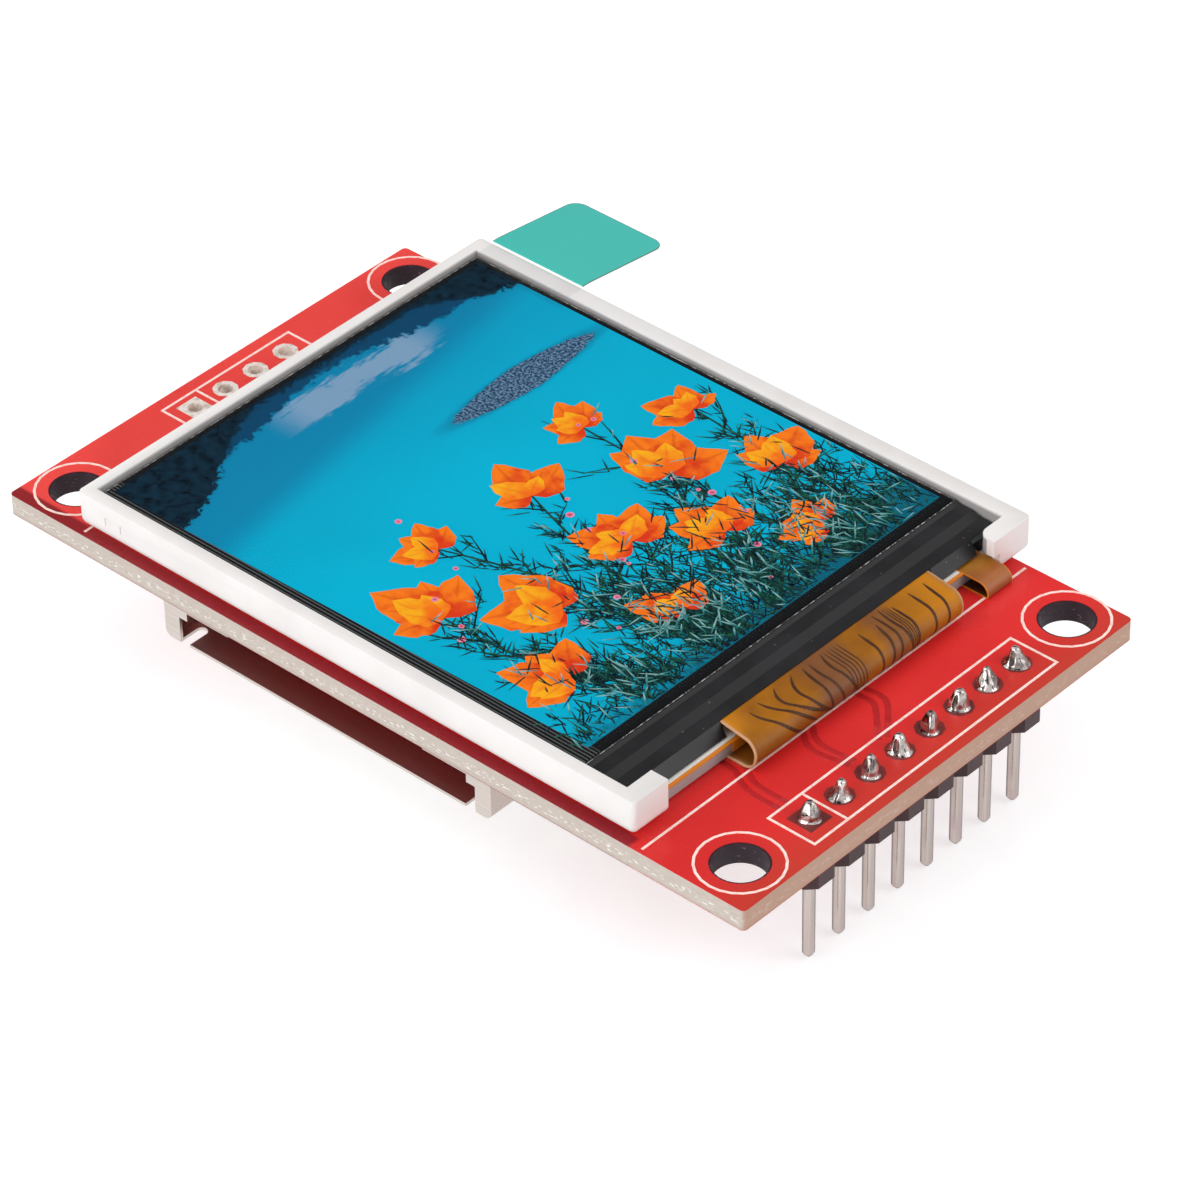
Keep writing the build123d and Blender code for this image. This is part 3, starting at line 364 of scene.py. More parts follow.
def tail_film():
    """Polyimide lamp flex with a curled tail: olive amber on top, with painted shade browner down the curl
    and dark inside it.
    """
    material, node = start("backlight_flex_polyimide")
    place = in_mm(node)
    x, y, z = node("split", place)
    low, high = span("backlight_flex")
    radius, middle_z = (high[2] - low[2]) / 2, (high[2] + low[2]) / 2
    # A face that looks towards the curl's own axis is its inner side.
    out = node("larger", node("minus", x, high[0] - radius), 0.0)
    along = node("dot", node("join", out, 0.0, node("minus", z, middle_z)), node("facing"))
    cloud = node("noise", place, 0.9, 3.0)
    half_width = 1.075
    from_edge = node("minus", node("absolute", node("minus", y, high[1] - half_width)), half_width)
    colour = coats(
        node,
        "#A8701C",
        (node("step", cloud, 0.3, 0.7), "#96581C"),
        # Painted shade: browner where the film turns over and down the curl, dark on the curl's inner side.
        (node("step", x, 18.9, 20.4, 0.0, 0.8), "#A05A28"),
        (node("step", z, middle_z + 0.3, middle_z - 0.5, 0.0, 0.7), "#7A3E1E"),
        (node("step", along, -0.1, -0.2), node("mix", node("step", cloud, 0.4, 0.7), "#38160A", "#74380F")),
        (node("step", from_edge, -0.07, -0.02), "#D9801E"),
    )
    rough = node("step", cloud, 0.0, 1.0, 0.3, 0.42)
    return finish(
        material, colour, rough, (node("noise", place, 0.8), 0.03, 0.4),
        IOR=1.7, Specular_IOR_Level=0.25, Coat_Weight=0.1, Coat_Roughness=0.15,
    )


FLEX_GLOSS = {"Specular_IOR_Level": 0.12, "Coat_Weight": 0.04, "Coat_Roughness": 0.15}


def display_flex_film():
    """Polyimide display flex: olive amber, with painted orange glow at the far side and near side, painted
    shade past the bend, mauve haze where its tracks bunch.
    """
    material, node = start("display_flex_polyimide")
    # The flex's own map: u runs along it from the screen's edge, v across it, both in millimetres.
    flat = node("own_map", uv_map="flex_map")
    u, v, _ = node("split", flat)
    cloud = node("noise", flat, 0.35, 3.0)
    # Painted glow: orange by the near side, before the bend.
    near_glow = node("times", node("step", v, -5.2, -7.0), node("step", u, 2.6, 0.8))
    layers = [
        (node("step", cloud, 0.3, 0.7), "#8A5208"),
        # Painted glow in orange over the far side; next, painted shade past the bend.
        (node("times", node("step", v, 5.5, 10.6), 0.75), "#CE8208"),
        (node("times", near_glow, 0.6), "#CE8208"),
        (node("times", node("step", u, 2.2, 4.2), 0.5), "#6A3A20"),
    ]
    # Two bunches of close tracks tint the film mauve-brown between and around them.
    slant = node("times_plus", u, FLEX_DRIFT, v)
    for middle, reach, deep in ((0.6, 2.4, 0.62), (5.4, 1.4, 0.5)):
        away = node("absolute", node("minus", slant, middle))
        layers.append((node("step", away, reach, reach * 0.3, 0.0, deep), "#644036"))
    from_middle = node("absolute", node("minus", v, sum(FLEX_Y) / 2))
    layers.append((node("step", from_middle, 8.72, 8.86), "#C79A72"))
    colour = coats(node, "#A66606", *layers)
    rough = node("step", cloud, 0.0, 1.0, 0.3, 0.45)
    return finish(material, colour, rough, (node("noise", flat, 0.6), 0.05, 0.4), IOR=1.7, **FLEX_GLOSS)


def copper_under_film():
    """Copper track seen through the polyimide: dark brown line, slightly raised."""
    material, node = start("copper_track_under_polyimide")
    place = in_mm(node)
    colour = node("mix", node("noise", place, 1.0), "#3A2010", "#5A361C")
    rough = node("step", node("noise", place, 4.0), 0.0, 1.0, 0.3, 0.45)
    return finish(material, colour, rough, IOR=1.6, **FLEX_GLOSS)


def tab_film():
    """Green polyester pull tab, die-cut film: even sea green, satin, with a thin darker cut edge."""
    material, node = start("pull_tab_green_polyester")
    place = in_mm(node)
    # The tab's own map: u is the distance to the nearest cut edge in millimetres.
    from_edge = node("split", node("own_map", uv_map="tab_map"))[0]
    edge = node("step", from_edge, 0.08, 0.03, 0.0, 0.8)
    colour = coats(node, "#3ABBB0", (node("noise", place, 0.15), "#42BFB2"), (edge, "#66665C"))
    rough = node("step", node("noise", place, 2.0), 0.0, 1.0, 0.38, 0.5)
    return finish(material, colour, rough, IOR=1.57, Specular_IOR_Level=0.3)


def ground_glass():
    """Cut edge of display glass: dark green-grey and ground, with broken white glints painted on in spots."""
    material, node = start("filter_glass_ground_edge")
    place = in_mm(node)
    chips = node("noise", place, 2.2, 3.0, 0.7)
    # Painted highlights: broken white glints.
    painted_glint = node("step", chips, 0.46, 0.6)
    colour = coats(node, "#2E2C28", (node("noise", place, 0.6), "#5E5B54"), (painted_glint, "#F2F2EE"))
    rough = node("step", chips, 0.3, 0.7, 0.15, 0.5)
    return finish(material, colour, rough, IOR=1.52, Specular_IOR_Level=0.6)


def clear_film():
    """Clear polyester film on the screen: seen only by its gloss and its edge."""
    material, node = start("screen_film_clear_polyester")
    place = in_mm(node)
    colour = node("mix", node("noise", place, 0.2), "#3A4448", "#2C3438")
    rough = node("step", node("noise", place, 0.4), 0.0, 1.0, 0.04, 0.12)
    return finish(material, colour, rough, IOR=1.57, Specular_IOR_Level=0.5, Alpha=0.03)


def screen_picture(screen):
    """Polariser over the lit picture: a teal lake with hills and mist along its top, a black rim round it."""
    material, node = start("screen_picture_under_polariser")
    place = in_mm(node)
    x, y, _ = node("split", place)
    ripple = node("noise", node("stretched", place, (1.0, 0.22, 1.0)), 1.1, 6.0, 0.7)
    soft = node("noise", place, 0.09)
    # Mist: a pale torn band below the far shore.
    high = node("plus", x, node("times_plus", ripple, 5.0, -2.5))
    mist = node("times", node("step", high, -19.9, -19.3), node("step", high, -17.2, -18.0))
    mist = node("times", mist, node("step", node("absolute", node("minus", y, 2.5)), 7.5, 4.0))
    # Far shore: two layers of hills, their lines summed from slow waves and noise.
    jag = node("noise", place, 1.6, 6.0, 0.75)
    torn_line = node("times_plus", jag, 2.6, -1.3)
    swell = node("times", node("sine", node("times_plus", y, 0.33, 1.1)), 0.7)
    back_line = node("plus", x, node("plus", swell, torn_line))
    rise = node("plus", node("step", y, -3.0, -15.0, 0.0, 5.2), node("step", y, 9.0, 15.5, 0.0, 3.0))
    front_line = node("minus", x, node("plus", rise, torn_line))
    hill = node("mix", node("step", jag, 0.35, 0.6), "#04101B", "#0E2C3E")
    # Low stony island, its ends drawn out, with its shade on the water towards the viewer.
    off_x = node("divided", node("plus", x, 11.2), 1.25)
    off_y = node("divided", node("minus", y, 8.8), 6.0)
    far = node("times_plus", off_x, off_x, node("power", node("absolute", off_y), 1.2))
    far = node("times_plus", torn_line, 0.22, far)
    stone = node("mix", node("step", node("noise", place, 6.0, 3.0), 0.42, 0.62), "#22405A", "#6C8DAE")
    # Lower edge: deep shade behind the plants.
    under = node("times_plus", jag, 5.0, node("times_plus", y, 0.1, x))
    colour = coats(
        node,
        screen.water_colour,
        (node("step", soft, 0.3, 0.7), "#00AFD2"),
        (node("step", x, -4.0, -19.0, 0.0, 0.55), "#0A86B4"),
        (node("times", mist, 0.85), "#CBD9EE"),
        (node("step", node("times_plus", y, 0.18, x), -13.4, -16.4, 0.0, 0.6), "#0D6F9E"),
        (node("step", back_line, -19.6, -19.9), "#0A4468"),
        (node("step", front_line, -20.9, -21.15), hill),
        (node("step", far, 1.5, 0.9, 0.0, 0.5), "#0B5F84"),
        (node("step", far, 1.0, 0.94), stone),
        (node("step", under, 13.2, 17.4, 0.0, 0.8), "#0A3A4C"),
    )
    # Black rim of the glass round the picture, a little wider at the header end.
    inside_x = node("times", node("step", x, -21.45, -21.38), node("step", x, 14.75, 14.68))
    near_line = node("times_plus", x, -0.018, node("minus", y, 0.26))
    inside_y = node("times", node("step", near_line, -14.72, -14.64), node("step", y, 15.82, 15.75))
    # Painted highlights: fine pale lines along the rim's near side, where the films' cut edges lie.
    lines = node("step", node("sine", node("times", y, 26.0)), 0.1, 0.9, 0.0, 0.5)
    lines = node("times", lines, node("step", y, -13.8, -14.1))
    rim = node("mix", lines, "#17181A", "#7C7E7C")
    colour = node("mix", node("times", inside_x, inside_y), rim, colour)
    return finish(
        material, colour, node("step", soft, 0.0, 1.0, 0.08, 0.16), lit=PICTURE_LIGHT,
        IOR=1.5, Specular_IOR_Level=0.05, Coat_Weight=0.02, Coat_Roughness=0.04,
    )


def painted(name, light, dark, rib=None):
    """One colour of the screen picture, shaded along each shape by its own map, with a rib of another."""
    material, node = start(name)
    u, v, _ = node("split", node("own_map", uv_map="shape_map"))
    spot = node("noise", in_mm(node), 1.3, 3.0)
    share = node("times_plus", spot, 1.3, node("minus", u, 0.65))
    colour = node("mix", node("step", share, 0.1, 0.9), dark, light)
    if rib:
        at_rib = node("step", node("absolute", node("minus", v, 0.5)), 0.1, 0.0, 0.0, 0.4)
        colour = node("mix", at_rib, colour, rib)
    return finish(
        material, colour, 0.35, lit=PICTURE_LIGHT,
        IOR=1.5, Specular_IOR_Level=0.12, Coat_Weight=0.04, Coat_Roughness=0.04,
    )


def dress(finishes):
    """Give CAD nodes their finish through their own material slots: each key names one node or several."""
    for names, material in finishes.items():
        for name in names.split():
            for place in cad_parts[name].material_slots:
                place.material = material


# Surfaces

# Gaps in metres that are merged, the shortest edge that is kept, and angles in radians.
WELD_GAP, COPY_GAP, SLIVER = 2e-7, 1e-7, 1e-8
FLAT_ANGLE, SHARP_ANGLE = 0.01, 0.6


def grid_faces(rows, columns, wrap_rows, wrap_columns):
    """Quads of a grid of points, numbered row by row, wound so that row step times column step points out."""
    i = np.arange(rows if wrap_rows else rows - 1)[:, None]
    j = np.arange(columns if wrap_columns else columns - 1)[None, :]
    i2, j2 = (i + 1) % rows, (j + 1) % columns
    corners = [i * columns + j, i2 * columns + j, i2 * columns + j2, i * columns + j2]
    return np.stack(np.broadcast_arrays(*corners), -1).reshape(-1, 4)


def direction(angle):
    """Unit vectors at those angles."""
    return np.stack([np.cos(angle), np.sin(angle)], -1)


def left_of(run):
    """Flat vectors turned a quarter turn to the left."""
    return np.stack([-run[..., 1], run[..., 0]], -1)


def placed(name, data):
    """A new object with that data, linked into the scene."""
    made = bpy.data.objects.new(name, data)
    bpy.context.scene.collection.objects.link(made)
    return made


def smoothed(mesh, smooth=True):
    """Shade every face smooth or flat."""
    mesh.polygons.foreach_set("use_smooth", np.full(len(mesh.polygons), smooth))


def make_piece(name, material, grids, uv_map="shape_map", weld=False, smooth=True, stands_for=()):
    """One mesh from grids of points in millimetres: each is (points, map, wrap_rows, wrap_columns).

    Points may have leading axes for copies of one shape. Welded shells are closed and turned outwards."""
    points, faces, maps, first = [], [], [], 0
    for grid, uv, wrap_rows, wrap_columns in grids:
        grid = np.asarray(grid, float)
        rows, columns = grid.shape[-3:-1]
        copies = grid.reshape(-1, rows * columns, 3)
        one = grid_faces(rows, columns, wrap_rows, wrap_columns)
        steps = first + np.arange(len(copies)) * rows * columns
        faces.append((one[None] + steps[:, None, None]).reshape(-1, 4))
        points.append(copies.reshape(-1, 3))
        if uv is None:
            u, v = np.meshgrid(np.linspace(0, 1, rows), np.linspace(0, 1, columns), indexing="ij")
            uv = np.stack([u, v], -1)
        maps.append(np.broadcast_to(np.asarray(uv, float), (*grid.shape[:-1], 2)).reshape(-1, 2))
        first += copies.shape[0] * rows * columns
    points, faces, maps = np.concatenate(points) * MM, np.concatenate(faces), np.concatenate(maps)
    mesh = bpy.data.meshes.new(name)
    mesh.from_pydata(points, [], faces)
    mesh.uv_layers.new(name=uv_map).data.foreach_set("uv", maps[faces.ravel()].ravel())
    mesh.validate()
    if weld:
        shape = bmesh.new()
        shape.from_mesh(mesh)
        bmesh.ops.remove_doubles(shape, verts=shape.verts, dist=WELD_GAP)
        bmesh.ops.dissolve_degenerate(shape, edges=shape.edges, dist=SLIVER)
        bmesh.ops.recalc_face_normals(shape, faces=shape.faces)
        shape.to_mesh(mesh)
        shape.free()
    smoothed(mesh, smooth)
    mesh.materials.append(material)
    piece = placed(name, mesh)
    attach(piece, "root")
    if stands_for:
        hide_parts(*stands_for)
    return piece


def thicken(piece, thickness_mm):
    """Give a surface its thickness, half to each side."""
    wall = piece.modifiers.new("film_thickness", "SOLIDIFY")
    wall.thickness = thickness_mm * MM
    wall.offset = 0


def swept(path, side, up, profile):
    """A profile of (side, up) offsets carried along a path, its ends drawn in to their middles.

    A point is the path's point plus its two offsets times the path's side and up directions."""
    path, side, up = (np.asarray(a, float)[..., :, None, :] for a in (path, side, up))
    profile = np.asarray(profile, float)
    rings = path + profile[..., 0:1] * side + profile[..., 1:2] * up
    first, last = (
        np.broadcast_to(ring.mean(-2, keepdims=True), ring.shape)
        for ring in (rings[..., :1, :, :], rings[..., -1:, :, :])
    )
    return np.concatenate([first, rings, last], -3), None, False, True


def own_copy(name, node, bevel, material):
    """A merged copy of a CAD node with softly rounded edges, standing for it."""
    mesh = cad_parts[node].data.copy()
    mesh.name = name
    shape = bmesh.new()
    shape.from_mesh(mesh)
    bmesh.ops.remove_doubles(shape, verts=shape.verts, dist=COPY_GAP)
    bmesh.ops.dissolve_limit(shape, angle_limit=FLAT_ANGLE, verts=shape.verts, edges=shape.edges)
    shape.to_mesh(mesh)
    shape.free()
    mesh.materials.clear()
    mesh.materials.append(material)
    smoothed(mesh)
    piece = placed(name, mesh)
    soft = piece.modifiers.new("softened_edges", "BEVEL")
    soft.width = bevel
    soft.segments = 2
    soft.limit_method = "ANGLE"
    soft.angle_limit = SHARP_ANGLE
    soft.harden_normals = True
    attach(piece, "root")
    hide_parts(node)
    return piece


def shift_lowest(piece, axis, reach, step):
    """Move the points that lie within reach of the piece's lowest along an axis by step, in metres."""
    points = np.empty(len(piece.data.vertices) * 3)
    piece.data.vertices.foreach_get("co", points)
    points = points.reshape(-1, 3)
    points[points[:, axis] < points[:, axis].min() + reach, axis] += step
    piece.data.vertices.foreach_set("co", points.ravel())


# Settings


def length_setting(name, description, default_mm):
    """A length setting, in metres."""
    return bpy.props.FloatProperty(
        name=name, description=description, default=default_mm * MM, min=0.0, unit="LENGTH", precision=5
    )


def colour_setting(name, description, hex_colour):
    """A colour setting with its alpha."""
    return bpy.props.FloatVectorProperty(
        name=name, description=description, default=linear(hex_colour),
        size=4, subtype="COLOR", min=0.0, max=1.0,
    )


def power_setting(name, description, default):
    """A lamp's power, in watts."""
    return bpy.props.FloatProperty(name=name, description=description, default=default, min=0.0, unit="POWER")


class BoardSettings(bpy.types.PropertyGroup):
    """Circuit board and header."""

    mask_colour: colour_setting("Mask colour", "Lacquer colour near the pin row", "#E22E2D")
    laminate_light: colour_setting("Laminate light", "Pale part of the cut edge", "#D3CAC0")
    laminate_dark: colour_setting("Laminate dark", "Dark part of the cut edge", "#B4A59B")
    ink_colour: colour_setting("Ink colour", "Printed lines", "#FFE6DE")
    pin_squareness: bpy.props.FloatProperty(
        name="Pin squareness",
        description="Power of the pin section's superellipse: 2 is round",
        default=3.4,
        min=2.0,
    )
    pin_dome: length_setting("Pin dome", "Height of a pin's domed end", 0.36)


class ScreenSettings(bpy.types.PropertyGroup):
    """Screen picture, frame, film and tab."""

    water_colour: colour_setting("Water colour", "Main field of the screen picture", "#00B6DA")
    frame_colour: colour_setting("Frame colour", "Backlight frame plastic", "#E9E6E4")
    edge_radius: length_setting("Edge radius", "Rounding of the frame's edges", 0.12)
    foot_drop: length_setting("Foot drop", "How far the frame's foot reaches into the tape's gap", 0.1)
    tab_corner: length_setting("Tab corner", "Radius of the pull tab's outer corners", 0.9)
    glass_edge: length_setting("Glass edge", "Width of the ground edge round the glass", 0.11)
    leaf_length: length_setting("Leaf length", "Length of a leaf in the picture", 3.6)


class FlexSettings(bpy.types.PropertyGroup):
    """Display flex."""

    track_width: length_setting("Track width", "Width of a copper track", 0.26)
    track_height: length_setting("Track height", "How far a track stands out", 0.014)


class StageSettings(bpy.types.PropertyGroup):
    """Camera and light."""

    camera_place: bpy.props.FloatVectorProperty(
        name="Camera place",
        description="Where the camera stands",
        default=(0.183218, -0.195093, 0.206042),
        subtype="TRANSLATION",
        unit="LENGTH",
    )
    camera_turn: bpy.props.FloatVectorProperty(
        name="Camera turn",
        description="The camera's rotation",
        default=(0.909769, 0.015713, 0.734354),
        subtype="EULER",
        unit="ROTATION",
    )
    camera_lens: bpy.props.FloatProperty(
        name="Lens", description="Focal length on a 36 mm sensor", default=176.756, unit="CAMERA"
    )
    key_power: power_setting("Key lamp", "Power of the large soft lamp", 1.22)
    fill_power: power_setting("Fill lamp", "Power of the lamp at the header side", 0.95)
    near_power: power_setting("Near lamp", "Power of the low lamp at the card mouth's side", 1.35)
    sky_strength: bpy.props.FloatProperty(
        name="Room light", description="Strength of the even light from the room", default=0.66, min=0.0
    )


# Operators


class BoardDressing(bpy.types.Operator):
    """Lacquer, laminate, ink, tinned lands and solder finishes on the board's own nodes."""

    bl_idname = "display_module.board_dressing"
    bl_label = "Dress the board"

    def execute(self, context):
        board = context.scene.board_settings
        lands = "spare_hole_platings component_pads jumper_pads flex_landing_pads card_socket_pads"
        dress({
            "solder_mask_front solder_mask_back": lacquered_mask(board),
            "board_laminate": routed_laminate(board),
            "printed_marks_front printed_marks_back": printed_ink(board),
            lands: bright_tin("tinned_copper_land", "#FFF8F2", "#D6CCC4", 0.7, 2.0),
            # Header lands: dark red-brown, partly flux residue and partly painted shade round each solder
            # cone.
            "header_hole_platings": moulded("land_flux_and_painted_shade", "#8A2824", "#5E1A1A", 0.4, 2.0),
            "header_housing": moulded("header_nylon_black", "#34191C", "#3E2427", 0.42, level=0.3),
            "flex_solder_joints": bright_tin("flex_solder", "#D6D2CC", "#A09A94", 0.2),
        })
        return {"FINISHED"}


class BoardTracks(bpy.types.Operator):
    """Copper tracks that show through the lacquer: low ridges beside the flex and over the board's back."""

    bl_idname = "display_module.board_tracks"
    bl_label = "Make the board's tracks"
    width = 0.42

    def execute(self, context):
        front = [
            [(18.6, -7.6), (20.4, -7.6), (21.5, -8.43), (22.7, -8.56), (24.3, -8.5)],
            [(18.6, -8.25), (20.2, -8.25), (21.4, -9.1), (22.8, -9.25), (24.2, -9.2)],
            [(18.6, -3.1), (20.6, -3.1), (21.7, -4.15), (22.8, -4.3), (24.6, -3.85)],
            [(18.6, -2.4), (20.7, -2.4), (21.7, -3.4), (22.8, -3.65), (24.6, -3.4)],
            [(18.6, 1.8), (21.0, 1.8), (22.0, 1.95), (22.9, 1.55), (24.6, -0.7)],
            [(18.6, 1.1), (21.0, 1.1), (22.0, 1.2), (22.6, 0.8), (24.4, -1.2)],
        ]
        # Back: six tracks from the pins to the small parts, four from the spare row to the card contacts.
        first_pin, first_part, first_spare = -8.72, -7.4, 3.75
        back = []
        for i in range(6):
            pin_y, part_y = first_pin + PIN_PITCH * i, first_part + 2.1 * i
            between = (2 * pin_y + part_y) / 3
            back.append([(24.9, pin_y), (23.4, pin_y), (22.4, between), (20.8, part_y), (19.4, part_y)])
        for i in range(4):
            spare_y, contact = first_spare - PIN_PITCH * i, -5.4 - 2.5 * i
            lane, column = 15.0 - 0.7 * i, -22.6 + 0.9 * i
            rise = [(-25.1, spare_y), (column, spare_y), (column, lane - 0.9), (column + 0.9, lane)]
            back.append(rise + [(contact, lane), (contact, 11.9)])
        back.append([(7.1, 11.9), (7.1, 12.3), (7.7, 12.9), (20.6, 12.9), (22.2, 11.6), (24.6, 9.9)])
        lacquer = trace_under_mask()
        for name, lines, z, side in (("front", front, BOARD_TOP, 1), ("back", back, BOARD_BOTTOM, -1)):
            grids = [self.ridge(points, z, side) for points in lines]
            make_piece("board_tracks_" + name, lacquer, grids, weld=True)
        return {"FINISHED"}

    def ridge(self, points, z, side):
        """A low rounded strip along a line of (x, y) points, its corners cut off at their quarters twice."""
        line = np.array(points, float)
        for _ in range(2):
            a, b = line[:-1], line[1:]
            inner = np.stack([a * 0.75 + b * 0.25, a * 0.25 + b * 0.75], 1).reshape(-1, 2)
            line = np.concatenate([line[:1], inner[1:-1], line[-1:]])
        run = np.gradient(line, axis=0)
        run /= np.linalg.norm(run, axis=1, keepdims=True)
        across = np.column_stack([-run[:, 1], run[:, 0], np.zeros(len(run))])
        path = np.column_stack([line, np.full(len(line), z)])
        up = np.broadcast_to([0.0, 0.0, side], path.shape)
        half, rise, crown, sunk = self.width / 2, 0.006, 0.009, -0.004
        profile = [(-half, sunk), (-half * 0.8, rise), (0, crown), (half * 0.8, rise), (half, sunk)]
        return swept(path, across, up, profile)


class PinMaking(bpy.types.Operator):
    """Eight header pins of rounded square wire with domed tips."""

    bl_idname = "display_module.pin_making"
    bl_label = "Make the header pins"

    def execute(self, context):
        board = context.scene.board_settings
        low, high = span("header_pins")
        half = (high[0] - low[0]) / 2
        middle_x = (low[0] + high[0]) / 2
        middle_y = low[1] + half + PIN_PITCH * np.arange(PIN_COUNT)[:, None, None]
        # Section: a superellipse, |x|^n + |y|^n = half^n, which shrinks as a quarter circle at both ends.
        angle = np.linspace(0, 2 * np.pi, 32, endpoint=False)
        exponent = 2 / board.pin_squareness
        across_x, across_y = (np.sign(w) * np.abs(w) ** exponent for w in (np.cos(angle), np.sin(angle)))
        dome = np.linspace(0, np.pi / 2, 8)
        size = np.concatenate([np.sin(dome), np.ones(3), np.cos(dome)])[:, None] * half
        rise = board.pin_dome / MM
        foot = low[2] + rise * (1 - np.cos(dome))
        shaft = np.linspace(low[2] + rise, high[2] - rise, 5)[1:-1]
        tip = high[2] - rise * (1 - np.sin(dome))
        dx, dy = size * across_x, size * across_y
        height = np.broadcast_to(np.concatenate([foot, shaft, tip])[:, None], dx.shape)
        points = np.stack(np.broadcast_arrays(middle_x + dx, middle_y + dy, height), -1)
        uv = np.stack([(dx + dy) / np.sqrt(2), height], -1)
        make_piece(
            "header_pins_rounded", drawn_pin(), [(points, uv, False, True)],
            uv_map="pin_map", weld=True, stands_for=["header_pins"],
        )
        return {"FINISHED"}


class PartDressing(bpy.types.Operator):
    """Finishes of the small parts and of the card socket."""

    bl_idname = "display_module.part_dressing"
    bl_label = "Dress the small parts"

    def execute(self, context):
        leads = bright_tin("lead_tinned", "#CFCBC5", "#A5A09A", 0.28, 3.0)
        gilt = bright_tin("contact_plated_bronze", "#D8B878", "#B08A4A", 0.22, 1.5)
        epoxy = moulded("chip_epoxy_black", "#232325", "#2E2E30", 0.5, 6.0)
        dress({
            "voltage_regulator_body backlight_transistor_body": epoxy,
            "voltage_regulator_leads backlight_transistor_leads capacitor_end_caps resistor_end_caps": leads,
            "capacitor_bodies": moulded("capacitor_ceramic", "#A98A66", "#8F7250", 0.45, 8.0),
            "resistor_bodies": moulded("resistor_glass_coat", "#1B1B1D", "#27272A", 0.2, 2.0),
            "card_socket_shell": stamped_steel(),
            "card_contacts card_detect_contact write_protect_contact": gilt,
        })
        black = moulded("socket_polymer_black", "#1E1D1E", "#2B2A2B", 0.45, 5.0)
        base = own_copy(
            "card_socket_base_softened", "card_socket_base", 0.03 * MM, black
        )
        # The rails' front ends stop well inside the mouth, where only sheet metal shows.
        shift_lowest(base, 1, 0.1 * MM, 4.0 * MM)
        return {"FINISHED"}


class ScreenDressing(bpy.types.Operator):
    """Finishes of the glass, its sheets, the lamps and the tapes."""

    bl_idname = "display_module.screen_dressing"
    bl_label = "Dress the screen stack"

    def execute(self, context):
        glass = moulded("display_glass_edge", "#5B6B6C", "#2C3638", 0.12, 0.8, 0.0)
        sheets = moulded("light_sheets_frosted", "#E9ECEE", "#DDE2E6", 0.35, 4.0)
        dress({
            "front_polariser": screen_picture(context.scene.screen_settings),
            "array_glass colour_filter_glass": glass,
            "rear_polariser rim_tape": moulded("polariser_rear", "#1A1B20", "#24252A", 0.3),
            "driver_chip": moulded("driver_silicon", "#3A3B42", "#4B4C54", 0.15, 1.0),
            "ledge_tape": black_tape(),
            "diffuser_sheet lower_prism_sheet upper_prism_sheet": sheets,
            "light_guide": moulded("light_guide_acrylic", "#E4ECEC", "#D8E3E4", 0.1, 2.0),
            "reflector_sheet": bright_tin("reflector_silver_film", "#E4E4E6", "#D2D2D6", 0.15, 0.3),
            "backlight_lamps": moulded("lamp_resin_yellow", "#EDE6B8", "#F4F0DA", 0.3),
            "lamp_cover_tape": moulded("lamp_tape_white", "#E6E4DF", "#D9D6CF", 0.5),
            "display_mounting_tape": moulded("mounting_tape_white", "#E8E4DE", "#D8D2C8", 0.7, 4.0, 0.03),
            "backlight_flex": tail_film(),
        })
        return {"FINISHED"}


class FrameMaking(bpy.types.Operator):
    """White polycarbonate frame with the softly rounded edges of a moulding."""

    bl_idname = "display_module.frame_making"
    bl_label = "Make the frame"

    def execute(self, context):
        screen = context.scene.screen_settings
        white = frame_plastic(screen)
        radius = screen.edge_radius
        piece = own_copy("frame_softened", "backlight_frame", radius, white)
        # The moulding's foot reaches a little into the tape's gap, as the photograph's thin shade line shows.
        shift_lowest(piece, 2, 0.05 * MM, -screen.foot_drop)
        return {"FINISHED"}


